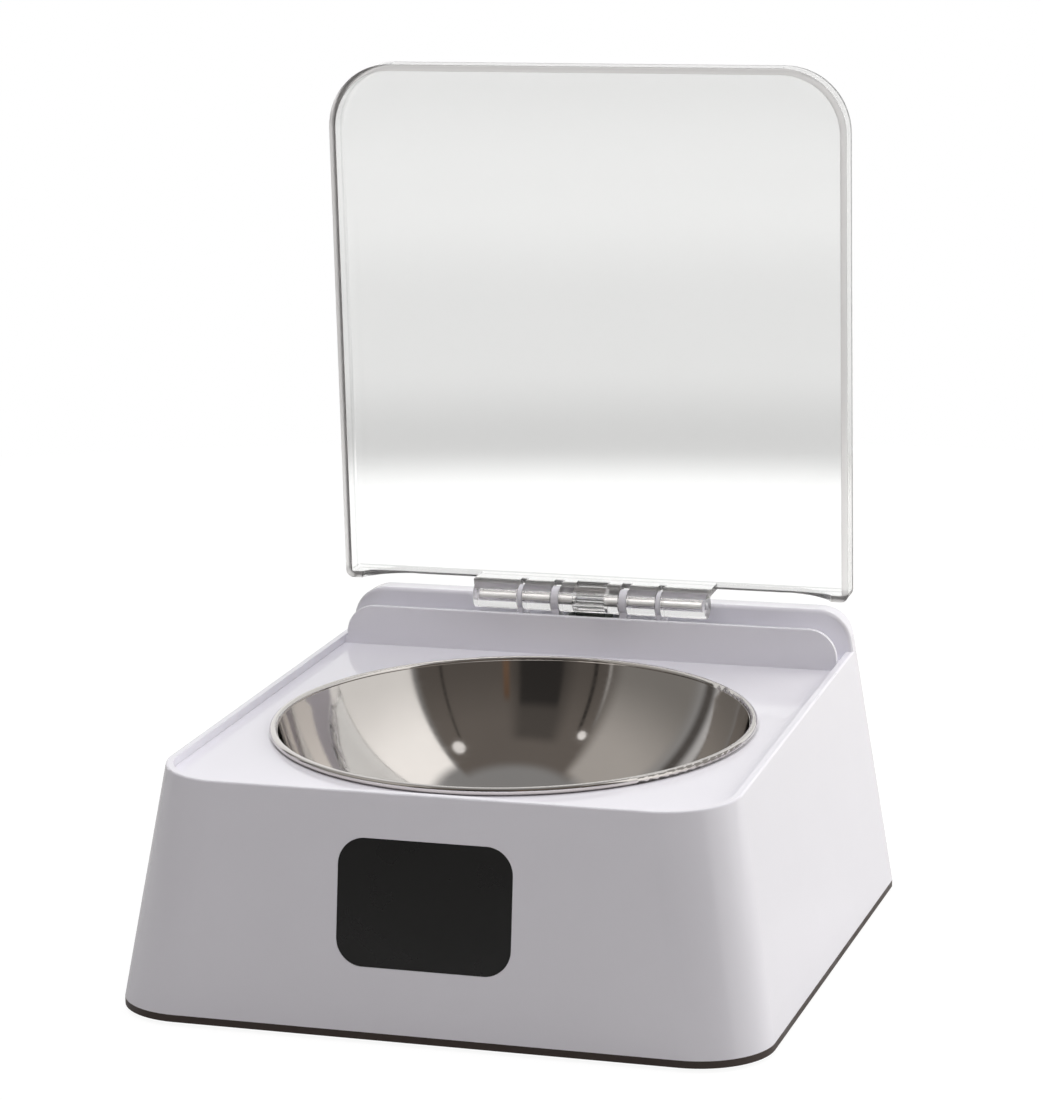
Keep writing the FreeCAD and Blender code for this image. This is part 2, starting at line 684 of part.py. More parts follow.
def gearbox_plate(x0, x1):
    """Side plate: wide below the tray, narrow where it stands up in the slot."""
    neck_front = RIDGE_REAR_Y + SLOT_CLEAR + GEARBOX_NECK_GAP
    top = OUTPUT_AXIS[1] + GEARBOX_TOP_RISE
    shoulder = shelf_z(GEARBOX_FRONT_Y) - GEARBOX_SHOULDER_GAP
    outline = [
        (x0, GEARBOX_FRONT_Y, GEARBOX_BOTTOM),
        (x0, GEARBOX_REAR_Y, GEARBOX_BOTTOM),
        (x0, GEARBOX_REAR_Y, top - GEARBOX_TOP_RISE),
        (x0, GEARBOX_REAR_Y - GEARBOX_REAR_CUT, top),
        (x0, neck_front + GEARBOX_FRONT_CUT, top),
        (x0, neck_front, top - GEARBOX_FRONT_CUT),
        (x0, neck_front, shoulder),
        (x0, GEARBOX_FRONT_Y, shoulder),
    ]
    plate = prism(outline, V(x1 - x0, 0, 0))
    for axis in (OUTPUT_AXIS, SECOND_AXIS, FOURTH_AXIS):
        plate = plate.cut(cross_rod(AXLE_RADIUS + PIN_PRESS, axis, -FAR, FAR))
    return plate


def gearbox_case():
    """Left plate with the pillars that carry the cover, and the motor's seat."""
    inner = -PLATE_HALF_SPAN
    case = gearbox_plate(inner - PLATE, inner)
    case = case.cut(cross_rod(AXLE_RADIUS + PIN_PRESS, THIRD_AXIS, -FAR, FAR))
    case = case.cut(cross_rod(MOTOR_BOSS_RADIUS + MOTOR_BOSS_GAP, MOTOR_AXIS, -FAR, FAR))
    for pillar in PILLARS:
        case = case.fuse(cross_rod(PILLAR_RADIUS, pillar, inner - PLATE / 2, PLATE_HALF_SPAN))
        case = case.cut(cross_rod(SCREW_RADIUS + PIN_PRESS, pillar, PLATE_HALF_SPAN - GEARBOX_SCREW_LENGTH, FAR))
    return case


def gearbox_cover():
    """Right plate, screwed to the pillars, with the hole for the cam shaft."""
    cover = gearbox_plate(PLATE_HALF_SPAN, PLATE_HALF_SPAN + PLATE)
    cover = cover.cut(cross_rod(HUB_RADIUS + CAM_SHAFT_GAP, THIRD_AXIS, -FAR, FAR))
    for pillar in PILLARS:
        cover = cover.cut(cross_rod(SCREW_RADIUS + PIN_PRESS, pillar, -FAR, FAR))
    return cover


def gearbox_screws():
    """Three screws through the cover into the pillars."""
    head_x = PLATE_HALF_SPAN + PLATE
    screws = []
    for pillar in PILLARS:
        y, z = pillar
        shank = cross_rod(SCREW_RADIUS, pillar, head_x - GEARBOX_SCREW_LENGTH, head_x)
        head = cross_rod(SCREW_HEAD_RADIUS, pillar, head_x, head_x + SCREW_HEAD)
        slot = box(head_x + SCREW_HEAD - DRIVER_SLOT, head_x + SCREW_HEAD + PAST,
                   y - DRIVER_SLOT_REACH, y + DRIVER_SLOT_REACH, z - DRIVER_SLOT / 2, z + DRIVER_SLOT / 2)
        screws.append(shank.fuse(head).cut(slot))
    return screws


def drive_motor():
    """Small can motor on the left plate, with its flats above and below."""
    face_x = -PLATE_HALF_SPAN - PLATE
    can = cross_rod(MOTOR_RADIUS, MOTOR_AXIS, face_x - MOTOR_LENGTH, face_x)
    y, z = MOTOR_AXIS
    can = can.common(box(-FAR, FAR, y - FAR, y + FAR, z - MOTOR_FLAT / 2, z + MOTOR_FLAT / 2))
    can = can.fuse(cross_rod(MOTOR_BOSS_RADIUS, MOTOR_AXIS, face_x, face_x + MOTOR_BOSS))
    tail_x = face_x - MOTOR_LENGTH
    can = can.fuse(cross_rod(MOTOR_TAIL_RADIUS, MOTOR_AXIS, tail_x - MOTOR_TAIL, tail_x))
    half_width, half_thickness = MOTOR_TAG_WIDTH / 2, MOTOR_TAG_THICKNESS / 2
    for side in (-1, 1):
        tag_y = y + side * MOTOR_TAG_SPREAD
        can = can.fuse(box(tail_x - MOTOR_TAG_LENGTH, tail_x, tag_y - half_width, tag_y + half_width,
                           z - half_thickness, z + half_thickness))
    bore = cross_rod(AXLE_RADIUS + AXLE_RUNNING, MOTOR_AXIS, tail_x + SHAFT_TAIL_SPACE - SHAFT_END_GAP, FAR)
    return can.cut(bore)


SWITCH_X = (PLATE_HALF_SPAN + PLATE, PLATE_HALF_SPAN + PLATE + SWITCH_THICKNESS)
SWITCH_MIDDLE_X = sum(SWITCH_X) / 2
SWITCH_FACE_Y = THIRD_AXIS[0] - CAM_LOBE - FIT_GAP - PLUNGER_PROUD


def limit_switch():
    """Small snap switch on the cover that reads the cam."""
    x, z = SWITCH_MIDDLE_X, THIRD_AXIS[1]
    rear_y = SWITCH_FACE_Y - SWITCH_DEPTH
    body = box(*SWITCH_X, rear_y, SWITCH_FACE_Y, SWITCH_TOP - SWITCH_LENGTH, SWITCH_TOP)
    bore_end = SWITCH_FACE_Y - PLUNGER_INSIDE - PLUNGER_TRAVEL - PLUNGER_END_GAP
    body = body.cut(rod(PLUNGER_RADIUS + PLUNGER_GAP, (x, bore_end, z), (x, SWITCH_FACE_Y + PAST, z)))
    half_width, half_thickness = SWITCH_TAG_WIDTH / 2, SWITCH_TAG_THICKNESS / 2
    for step in (-1, 0, 1):
        tag_z = SWITCH_TOP - SWITCH_LENGTH / 2 + step * SWITCH_TAG_PITCH
        body = body.fuse(box(x - half_width, x + half_width, rear_y - SWITCH_TAG_LENGTH, rear_y,
                             tag_z - half_thickness, tag_z + half_thickness))
    return body


def limit_switch_plunger():
    """Plunger of the position switch, out as far as it goes."""
    x, z = SWITCH_MIDDLE_X, THIRD_AXIS[1]
    return rod(PLUNGER_RADIUS, (x, SWITCH_FACE_Y - PLUNGER_INSIDE, z), (x, SWITCH_FACE_Y + PLUNGER_PROUD, z))


# Hinge stations along X, from the middle out
INNER_POST_X = (CENTRE_KNUCKLE / 2 + KNUCKLE_GAP, CENTRE_KNUCKLE / 2 + KNUCKLE_GAP + INNER_POST)
INNER_KNUCKLE_X = (INNER_POST_X[1] + KNUCKLE_GAP, INNER_POST_X[1] + KNUCKLE_GAP + INNER_KNUCKLE)
OUTER_POST_X = (INNER_KNUCKLE_X[1] + KNUCKLE_GAP, INNER_KNUCKLE_X[1] + KNUCKLE_GAP + OUTER_POST)
OUTER_KNUCKLE_X = (OUTER_POST_X[1] + KNUCKLE_GAP, OUTER_POST_X[1] + KNUCKLE_GAP + OUTER_KNUCKLE)


def mirrored(span, side):
    """Span on the right or the left of the middle."""
    return span if side > 0 else (-span[1], -span[0])


def hinge_pin(side):
    """Steel pin through one side's knuckles and posts."""
    span = mirrored((CENTRE_KNUCKLE / 2 - PIN_REACH, OUTER_KNUCKLE_X[1] - KNUCKLE_END), side)
    return cross_rod(PIN_RADIUS, LID_AXIS, *span)


def hinge_posts():
    """Four thin posts of the housing that hold the pins."""
    posts = []
    head = KNUCKLE_RADIUS - POST_HEAD_STEP
    foot_z = tray_z(HINGE_Y) - POST_ROOT
    for side in (-1, 1):
        for span, foot in ((INNER_POST_X, 0), (OUTER_POST_X, POST_FOOT / 2)):
            x0, x1 = mirrored(span, side)
            post = cross_rod(head, LID_AXIS, x0, x1)
            post = post.fuse(box(x0, x1, HINGE_Y - POST_DEPTH / 2, HINGE_Y + POST_DEPTH / 2, foot_z, HINGE_Z))
            if foot:
                foot_top = HINGE_Z - KNUCKLE_RADIUS - POST_FOOT_GAP
                post = post.fuse(box(x0 - foot, x1 + foot, HINGE_Y - POST_DEPTH / 2,
                                     HINGE_Y + POST_DEPTH / 2, foot_z, foot_top))
            posts.append(post)
    return posts


def slot_ceiling():
    """Top of the drive slot, clear of the output gear."""
    return OUTPUT_AXIS[1] + OUTPUT_TIP + SLOT_TOP_CLEAR


def power_centre():
    """Where the power switch meets the rear wall's inner face."""
    wall_y = BODY_DEPTH / 2 - REAR_DRAFT * POWER_RISE
    return V(POWER_X, wall_y - WALL, HOUSING_BOTTOM + POWER_RISE)


def upper_housing():
    """White shell with lip, tray, bowl well, ridge, hinge trough and hump, in one moulding."""
    shell = body_block(0, 0, LOFT_TOP).cut(above_plane(lip_z, BODY_DEPTH, 0))

    def on_lip(b):
        return abs(b.ZMin - lip_z(b.YMin)) < NEAR and abs(b.ZMax - lip_z(b.YMax)) < NEAR

    shell = shell.makeFillet(LIP_ROUND, pick_edges(shell, on_lip))
    recess = body_block(LIP_WIDTH, LIP_FRONT_HEIGHT - RECESS_ROOT, LOFT_TOP)
    shell = shell.cut(recess.common(above_plane(tray_z, HUMP_FRONT_Y, 0)))

    hump = body_block(0, LIP_FRONT_HEIGHT - HUMP_ROOT, LOFT_TOP).common(hump_arch(0))
    hump = hump.common(box(-FAR, FAR, HUMP_FRONT_Y, FAR, 0, FAR))
    low = HOUSING_BOTTOM + LIP_FRONT_HEIGHT - HUMP_ROOT
    shoulder = pick_edges(hump, lambda b: abs(b.YMin - HUMP_FRONT_Y) < TINY and abs(b.YMax - HUMP_FRONT_Y) < TINY
                          and b.ZMax > low + PAST)
    shell = shell.fuse(hump.makeFillet(HUMP_EDGE, shoulder))

    cavity = body_block(WALL, -PAST, LOFT_TOP).common(hump_arch(WALL))
    cavity = cavity.cut(above_plane(tray_z, HUMP_FRONT_Y + WALL, -WALL))
    shell = shell.cut(cavity)

    ridge_top = HOUSING_BOTTOM + RIDGE_HEIGHT
    ridge_low = tray_z(RIDGE_FRONT_Y) - RIDGE_ROOT
    ridge = box(-RIDGE_HALF_WIDTH, RIDGE_HALF_WIDTH, RIDGE_FRONT_Y, RIDGE_REAR_Y, ridge_low, ridge_top)
    ridge_corners = pick_edges(ridge, lambda b: b.ZMin > ridge_top - TINY and b.XLength < 1)
    ridge = ridge.makeFillet(RIDGE_CORNER, ridge_corners)
    ridge_edges = pick_edges(ridge, lambda b: b.YLength < TINY and b.ZMax > ridge_low + PAST)
    ridge = ridge.makeFillet(RIDGE_THICKNESS / 2 - RIDGE_EDGE_FLAT, ridge_edges)
    root = box(-FAR / 2, FAR / 2, RIDGE_FRONT_Y, RIDGE_REAR_Y, ridge_low, lip_z(RIDGE_FRONT_Y) - RIDGE_ROOT_DROP)
    root = root.common(body_block(LIP_WIDTH / 2, LIP_FRONT_HEIGHT - HUMP_ROOT, LOFT_TOP))
    shell = shell.fuse(ridge).fuse(root)
    for post in hinge_posts():
        shell = shell.fuse(post)

    well = ball_cup(BOWL_BALL + BOWL_GAUGE + WELL_GAP + WELL_WALL, BOWL_DEPTH + BOWL_GAUGE + WELL_GAP + WELL_WALL,
                    -WELL_TOP_DROP, BOWL_BASE_ROUND + WELL_GAP)
    shell = shell.fuse(to_tray(well))
    hollow = ball_cup(BOWL_BALL + BOWL_GAUGE + WELL_GAP, BOWL_DEPTH + BOWL_GAUGE + WELL_GAP,
                      -WALL, BOWL_BASE_ROUND + WELL_GAP)
    hole_radius = math.sqrt((BOWL_BALL + BOWL_GAUGE) ** 2 - BOWL_BALL_RISE ** 2) + BOWL_HOLE_GAP
    mouth = Part.makeCylinder(hole_radius, WALL + WELL_MOUTH, V(0, 0, -WALL - PAST))
    shell = shell.cut(to_tray(hollow)).cut(to_tray(mouth))

    for x, y in boss_places():
        boss = rod(BOSS_RADIUS, (x, y, HOUSING_BOTTOM), (x, y, shelf_z(y) + BOSS_ROOT))
        shell = shell.fuse(boss)
        shell = shell.cut(rod(BASE_SCREW_RADIUS + PIN_PRESS, (x, y, HOUSING_BOTTOM - PAST),
                              (x, y, HOUSING_BOTTOM + BASE_SCREW_LENGTH)))

    shell = shell.cut(box(-SLOT_HALF_WIDTH, SLOT_HALF_WIDTH, RIDGE_REAR_Y + SLOT_CLEAR - SLOT_FRONT_SPARE,
                          GEARBOX_REAR_Y + SLOT_TOP_CLEAR, shelf_z(HINGE_Y) - SLOT_DROP, slot_ceiling()))
    for side in (-1, 1):
        span = (INNER_POST_X[0] - PAST, OUTER_POST_X[1] + PAST)
        shell = shell.cut(cross_rod(PIN_RADIUS + PIN_PRESS, LID_AXIS, *mirrored(span, side)))

    pocket = rounded_plate(WINDOW_WIDTH + 2 * WINDOW_GAP, WINDOW_HEIGHT + 2 * WINDOW_GAP,
                           WINDOW_CORNER + WINDOW_GAP, WINDOW_POCKET)
    shell = shell.cut(to_front_wall(pocket, WINDOW_THICKNESS))
    opening = rounded_plate(WINDOW_WIDTH - 2 * WINDOW_LEDGE, WINDOW_HEIGHT - 2 * WINDOW_LEDGE,
                            WINDOW_CORNER - WINDOW_LEDGE, WINDOW_OPENING)
    shell = shell.cut(to_front_wall(opening, WALL + 2 * PAST))
    for x, v in sensor_standoffs():
        peg = Part.makeCylinder(STANDOFF_RADIUS, SENSOR_BOARD_BACK - WALL + PEG_ROOT, V(x, v, 0))
        shell = shell.fuse(to_front_wall(peg, SENSOR_BOARD_BACK))

    centre = power_centre()
    half_x, half_z = POWER_SLOT_WIDTH / 2, POWER_SLOT_HEIGHT / 2
    shell = shell.cut(box(centre.x - half_x, centre.x + half_x, centre.y - PAST, centre.y + WALL + 2 * PAST,
                          centre.z - half_z, centre.z + half_z))
    return shell.removeSplitter()


def boss_places():
    """Where the four base screws stand."""
    x = BODY_WIDTH / 2 - BOSS_SIDE_INSET
    y = BODY_DEPTH / 2 - BOSS_END_INSET
    return [(sx * x, sy * y) for sx in (-1, 1) for sy in (-1, 1)]


def foot_places():
    """Where the four feet stand, by name."""
    x = BODY_WIDTH / 2 - FOOT_SIDE_INSET
    front = -BODY_DEPTH / 2 + FOOT_FRONT_INSET
    rear = BODY_DEPTH / 2 - FOOT_REAR_INSET
    return {
        "foot_front_left": (-x, front),
        "foot_front_right": (x, front),
        "foot_rear_left": (-x, rear),
        "foot_rear_right": (x, rear),
    }


def foot(x, y):
    """Rubber foot with a rounded lower edge, glued in its pocket."""
    disc = rod(FOOT_RADIUS, (x, y, 0), (x, y, FOOT_PROUD + FOOT_POCKET))
    return disc.makeFillet(FOOT_EDGE, pick_edges(disc, lambda b: b.ZMax < TINY))


# Battery bay, under the middle of the bowl
CELL_PITCH = 2 * CELL_RADIUS + CELL_GAP
BAY_HALF_X = (CELL_LENGTH + CELL_NUB) / 2 + BAY_END_SPACE
BAY_HALF_Y = CELL_COUNT * CELL_PITCH / 2 + CELL_GAP
DOOR_TOP = FOOT_PROUD + DOOR_THICKNESS
CELL_Z = DOOR_TOP + CELL_CLEAR + CELL_RADIUS
BAY_TOP = CELL_Z + CELL_RADIUS + CELL_CLEAR
DOOR_HALF_X = BAY_HALF_X - DOOR_GAP
DOOR_HINGE_Y = BAY_HALF_Y + DOOR_LEDGE
DOOR_LATCH_Y = -BAY_HALF_Y - DOOR_LEDGE


def base_plate():
    """Dark base with its rim rib, battery bay, board pegs and gearbox stand."""
    rim = body_outline(0, 0)
    plate = Part.Face(rim).extrude(V(0, 0, -BASE_BAND))
    rib = body_block(WALL + FIT_GAP, 0, BASE_RIB_HEIGHT)
    rib = rib.cut(body_block(WALL + FIT_GAP + BASE_RIB, -PAST, BASE_RIB_HEIGHT + 2 * PAST))
    plate = plate.fuse(rib)

    bay_x = BAY_HALF_X + BAY_WALL
    front = DOOR_LATCH_Y - DOOR_GAP - BAY_WALL
    rear = DOOR_HINGE_Y + DOOR_THICKNESS / 2 + DOOR_GAP + BAY_WALL
    plate = plate.fuse(box(-bay_x, bay_x, front, rear, FOOT_PROUD, BAY_TOP + BAY_WALL))
    plate = plate.cut(box(-BAY_HALF_X, BAY_HALF_X, -BAY_HALF_Y, BAY_HALF_Y, FOOT_PROUD - PAST, BAY_TOP))
    plate = plate.cut(box(-BAY_HALF_X, BAY_HALF_X, DOOR_LATCH_Y - DOOR_GAP, rear - BAY_WALL,
                          FOOT_PROUD - PAST, DOOR_TOP + DOOR_TOP_GAP))
    pin_z = FOOT_PROUD + DOOR_THICKNESS / 2
    bore_x = DOOR_HALF_X + DOOR_PIN + DOOR_PIN_END_GAP
    plate = plate.cut(cross_rod(DOOR_PIN_RADIUS + DOOR_PIN_GAP, (DOOR_HINGE_Y, pin_z), -bore_x, bore_x))
    nail_z = FOOT_PROUD - NAIL_DROP
    nail = rod(NAIL_RADIUS, (0, DOOR_LATCH_Y - NAIL_REACH, nail_z), (0, DOOR_LATCH_Y + NAIL_OVERLAP, nail_z))
    plate = plate.cut(nail)

    for x, y in boss_places():
        plate = plate.cut(rod(BASE_SCREW_RADIUS + BASE_SCREW_GAP, (x, y, 0), (x, y, FAR)))
        head_top = FOOT_PROUD + BASE_SCREW_HEAD
        plate = plate.cut(rod(BASE_SCREW_HEAD_RADIUS + BASE_SCREW_GAP, (x, y, 0), (x, y, head_top)))
    for x, y in foot_places().values():
        plate = plate.cut(rod(FOOT_RADIUS + FOOT_GAP, (x, y, 0), (x, y, FOOT_PROUD + FOOT_POCKET)))
    low = HOUSING_BOTTOM - BASE_ROOT
    for x, y in board_pegs():
        plate = plate.fuse(rod(STANDOFF_RADIUS, (x, y, low), (x, y, HOUSING_BOTTOM + BOARD_RISE)))
    for x0 in (-PLATE_HALF_SPAN - PLATE - STAND_MARGIN, PLATE_HALF_SPAN - STAND_MARGIN):
        x1 = x0 + PLATE + 2 * STAND_MARGIN
        plate = plate.fuse(box(x0, x1, GEARBOX_FRONT_Y, GEARBOX_REAR_Y, low, GEARBOX_BOTTOM))
    for y0 in (GEARBOX_FRONT_Y, GEARBOX_REAR_Y - STAND_WALL):
        plate = plate.fuse(box(-PLATE_HALF_SPAN, PLATE_HALF_SPAN, y0, y0 + STAND_WALL,
                               low, GEARBOX_BOTTOM - STAND_STEP))
    return plate.removeSplitter()


def base_screws():
    """Four screws from below through the base into the housing's bosses."""
    screws = []
    for x, y in boss_places():
        shank = rod(BASE_SCREW_RADIUS, (x, y, FOOT_PROUD + BASE_SCREW_HEAD - BASE_SCREW_JOIN),
                    (x, y, HOUSING_BOTTOM + BASE_SCREW_LENGTH - BASE_SCREW_END_GAP))
        head = rod(BASE_SCREW_HEAD_RADIUS, (x, y, FOOT_PROUD + BASE_SCREW_SUNK),
                   (x, y, FOOT_PROUD + BASE_SCREW_HEAD))
        for dx, dy in ((CROSS_LENGTH / 2, CROSS_WIDTH / 2), (CROSS_WIDTH / 2, CROSS_LENGTH / 2)):
            head = head.cut(box(x - dx, x + dx, y - dy, y + dy, 0, FOOT_PROUD + CROSS_TOP))
        screws.append(head.fuse(shank))
    return screws


def battery_door():
    """Door under the battery bay, swinging on two stub pins."""
    half = DOOR_THICKNESS / 2
    pin_z = FOOT_PROUD + half
    door = box(-DOOR_HALF_X, DOOR_HALF_X, DOOR_LATCH_Y, DOOR_HINGE_Y, FOOT_PROUD, DOOR_TOP)
    door = door.fuse(rod(half, (-DOOR_HALF_X, DOOR_HINGE_Y, pin_z), (DOOR_HALF_X, DOOR_HINGE_Y, pin_z)))
    door = door.fuse(rod(DOOR_PIN_RADIUS, (-DOOR_HALF_X - DOOR_PIN, DOOR_HINGE_Y, pin_z),
                         (DOOR_HALF_X + DOOR_PIN, DOOR_HINGE_Y, pin_z)))
    for step in range(GRIP_COUNT):
        y = DOOR_LATCH_Y + GRIP_START + GRIP_PITCH * step
        door = door.cut(box(-GRIP_HALF_WIDTH, GRIP_HALF_WIDTH, y, y + GRIP_WIDTH,
                            FOOT_PROUD - PAST, FOOT_PROUD + GRIP_DEPTH))
    return door.removeSplitter()


def cell_places():
    """Middle of each cell in Y, and which way its nub points."""
    first = -(CELL_COUNT - 1) / 2 * CELL_PITCH
    return [(first + i * CELL_PITCH, 1 if i % 2 == 0 else -1) for i in range(CELL_COUNT)]


def cell(y, nub_side):
    """One round cell lying along X."""
    low = -(CELL_LENGTH + CELL_NUB) / 2
    if nub_side > 0:
        body = (low, low + CELL_LENGTH)
        nub = (low + CELL_LENGTH, low + CELL_LENGTH + CELL_NUB)
    else:
        body = (low + CELL_NUB, low + CELL_NUB + CELL_LENGTH)
        nub = (low, low + CELL_NUB)
    can = cross_rod(CELL_RADIUS, (y, CELL_Z), *body)
    can = can.makeFillet(CELL_EDGE, [e for e in can.Edges if e.Curve.TypeId == "Part::GeomCircle"])
    return can.fuse(cross_rod(CELL_NUB_RADIUS, (y, CELL_Z), *nub))


def battery_contacts():
    """Spring steel plates that join the cells at both ends of the bay."""
    plates = []
    half_height = CELL_RADIUS - CONTACT_HEIGHT_INSET
    centres = [y for y, _ in cell_places()]
    wide = CELL_PITCH / 2 - CONTACT_SIDE_INSET
    right = [(centres[0] - wide, centres[1] + wide), (centres[2] - wide, centres[3] + wide)]
    left = [(centres[0] - wide, centres[0] + wide), (centres[1] - wide, centres[2] + wide),
            (centres[3] - wide, centres[3] + wide)]
    for side, spans in ((1, right), (-1, left)):
        x0 = BAY_HALF_X - CONTACT_THICKNESS if side > 0 else -BAY_HALF_X
        for y0, y1 in spans:
            plates.append(box(x0, x0 + CONTACT_THICKNESS, y0, y1, CELL_Z - half_height, CELL_Z + half_height))
    return plates


def battery_springs():
    """One conical spring behind each cell's flat end, drawn as a plain cone."""
    cones = []
    for y, nub_side in cell_places():
        flat_x = -nub_side * (CELL_LENGTH + CELL_NUB) / 2
        plate_x = -nub_side * (BAY_HALF_X - CONTACT_THICKNESS)
        run = flat_x - plate_x
        tip = SPRING_RADIUS * SPRING_TAPER
        cones.append(Part.makeCone(SPRING_RADIUS, tip, abs(run), V(plate_x, y, CELL_Z), V(run, 0, 0)))
    return cones


def battery_studs():
    """Pressed studs that meet the cells' nubs."""
    studs = []
    for y, nub_side in cell_places():
        nub_x = nub_side * (CELL_LENGTH + CELL_NUB) / 2
        plate_x = nub_side * (BAY_HALF_X - CONTACT_THICKNESS)
        studs.append(rod(CELL_NUB_RADIUS - STUD_STEP, (nub_x, y, CELL_Z), (plate_x, y, CELL_Z)))
    return studs


# Boards

def board_pegs():
    """Pegs under the control board."""
    dx = BOARD_WIDTH / 2 - BOARD_HOLE_INSET
    dy = BOARD_LENGTH / 2 - BOARD_HOLE_INSET
    return [(BOARD_CENTRE_X + sx * dx, BOARD_CENTRE_Y + sy * dy) for sx in (-1, 1) for sy in (-1, 1)]


BOARD_BOTTOM = HOUSING_BOTTOM + BOARD_RISE
BOARD_TOP = BOARD_BOTTOM + BOARD_THICKNESS


def control_board():
    """Main circuit board on its pegs."""
    return box(BOARD_CENTRE_X - BOARD_WIDTH / 2, BOARD_CENTRE_X + BOARD_WIDTH / 2,
               BOARD_CENTRE_Y - BOARD_LENGTH / 2, BOARD_CENTRE_Y + BOARD_LENGTH / 2, BOARD_BOTTOM, BOARD_TOP)


def board_screws():
    """Screw heads that hold the control board."""
    return [rod(SCREW_HEAD_RADIUS, (x, y, BOARD_TOP), (x, y, BOARD_TOP + SCREW_HEAD)) for x, y in board_pegs()]


def control_chip():
    """Controller chip."""
    x, y = BOARD_CENTRE_X, BOARD_CENTRE_Y
    return box(x - CHIP_WIDTH / 2, x + CHIP_WIDTH / 2, y - CHIP_LENGTH / 2, y + CHIP_LENGTH / 2,
               BOARD_TOP, BOARD_TOP + CHIP_HEIGHT)


def board_capacitors():
    """Two standing capacitors."""
    cans = []
    for x, y in (CAPACITOR_LEFT, CAPACITOR_RIGHT):
        foot_point = (BOARD_CENTRE_X + x, BOARD_CENTRE_Y + y, BOARD_TOP)
        top_point = (BOARD_CENTRE_X + x, BOARD_CENTRE_Y + y, BOARD_TOP + CAPACITOR_HEIGHT)
        cans.append(rod(CAPACITOR_RADIUS, foot_point, top_point))
    return cans


BOARD_REAR_ROW = BOARD_CENTRE_Y + BOARD_LENGTH / 2 - CONNECTOR_REAR_INSET
CONNECTORS = {
    "sensor": (BOARD_CENTRE_X - 4.0, BOARD_CENTRE_Y - BOARD_LENGTH / 2 + CONNECTOR_FRONT_INSET),
    "battery": (BOARD_CENTRE_X - BOARD_WIDTH / 2 + CONNECTOR_SIDE_INSET, BOARD_CENTRE_Y + 2.0),
    "motor": (BOARD_CENTRE_X - 7.0, BOARD_REAR_ROW),
    "switch": (BOARD_CENTRE_X + 7.0, BOARD_REAR_ROW),
}
CONNECTOR_TOP = BOARD_TOP + CONNECTOR_HEIGHT


def board_connectors():
    """Four plug sockets for the wires."""
    half_x, half_y = CONNECTOR_WIDTH / 2, CONNECTOR_DEPTH / 2
    return [box(x - half_x, x + half_x, y - half_y, y + half_y, BOARD_TOP, CONNECTOR_TOP)
            for x, y in CONNECTORS.values()]


def sensor_standoffs():
    """Pegs behind the window, in the window's own plane."""
    dx = SENSOR_BOARD_WIDTH / 2 + SENSOR_PEG_OUT
    dv = SENSOR_BOARD_HEIGHT / 2 - SENSOR_PEG_INSET
    return [(sx * dx, sv * dv) for sx in (-1, 1) for sv in (-1, 1)]


def sensor_board():
    """Small board behind the window, on its pegs."""
    width = SENSOR_BOARD_WIDTH + 2 * SENSOR_BOARD_EARS
    plate = rounded_plate(width, SENSOR_BOARD_HEIGHT, SENSOR_BOARD_CORNER, BOARD_THICKNESS)
    return to_front_wall(plate, SENSOR_BOARD_BACK + BOARD_THICKNESS)


def sensor_lamp(x):
    """Round lamp or receiver on the sensor board, facing out through the window."""
    base = Part.makeCylinder(LED_FLANGE_RADIUS, LED_FLANGE, V(x, 0, 0))
    tube = Part.makeCylinder(LED_RADIUS, LED_LENGTH - LED_RADIUS, V(x, 0, 0))
    dome = Part.makeSphere(LED_RADIUS, V(x, 0, LED_LENGTH - LED_RADIUS))
    return to_front_wall(base.fuse(tube).fuse(dome), SENSOR_BOARD_BACK)


def sensor_window():
    """Dark window, flush with the front wall."""
    plate = rounded_plate(WINDOW_WIDTH, WINDOW_HEIGHT, WINDOW_CORNER, WINDOW_THICKNESS)
    return to_front_wall(plate, WINDOW_THICKNESS)


# Power switch

def power_switch_body():
    """Slide switch body against the rear wall's inner face."""
    centre = power_centre()
    y1 = centre.y - POWER_WALL_GAP
    body = box(centre.x - POWER_BODY_WIDTH / 2, centre.x + POWER_BODY_WIDTH / 2, y1 - POWER_BODY_DEPTH, y1,
               centre.z - POWER_BODY_HEIGHT / 2, centre.z + POWER_BODY_HEIGHT / 2)
    pocket = box(centre.x - POWER_SLOT_WIDTH / 2, centre.x + POWER_SLOT_WIDTH / 2, y1 - POWER_POCKET, y1 + PAST,
                 centre.z - POWER_SLOT_HEIGHT / 2, centre.z + POWER_SLOT_HEIGHT / 2)
    return body.cut(pocket)


def power_switch_knob():
    """Knob of the power switch, at its left end."""
    centre = power_centre()
    x = centre.x - POWER_TRAVEL
    face_y = centre.y + WALL + POWER_KNOB_PROUD
    knob = box(x - POWER_KNOB_WIDTH / 2, x + POWER_KNOB_WIDTH / 2, centre.y - POWER_POCKET, face_y,
               centre.z - POWER_KNOB_HEIGHT / 2, centre.z + POWER_KNOB_HEIGHT / 2)
    return knob.makeFillet(POWER_KNOB_EDGE, pick_edges(knob, lambda b: b.YMin > face_y - TINY))


# Bowl and lid

def steel_bowl():
    """Removable bowl, pressed from sheet, with a rolled rim that rests on the tray."""
    outer = ball_cup(BOWL_BALL + BOWL_GAUGE, BOWL_DEPTH + BOWL_GAUGE, RIM_BEAD, BOWL_BASE_ROUND + BOWL_GAUGE)
    inner = ball_cup(BOWL_BALL, BOWL_DEPTH, RIM_BEAD + 2 * PAST, BOWL_BASE_ROUND)
    bead = Part.makeTorus(RIM_RADIUS, RIM_BEAD, V(0, 0, RIM_BEAD + RIM_SEAT_GAP))
    return to_tray(outer.cut(inner).fuse(bead))


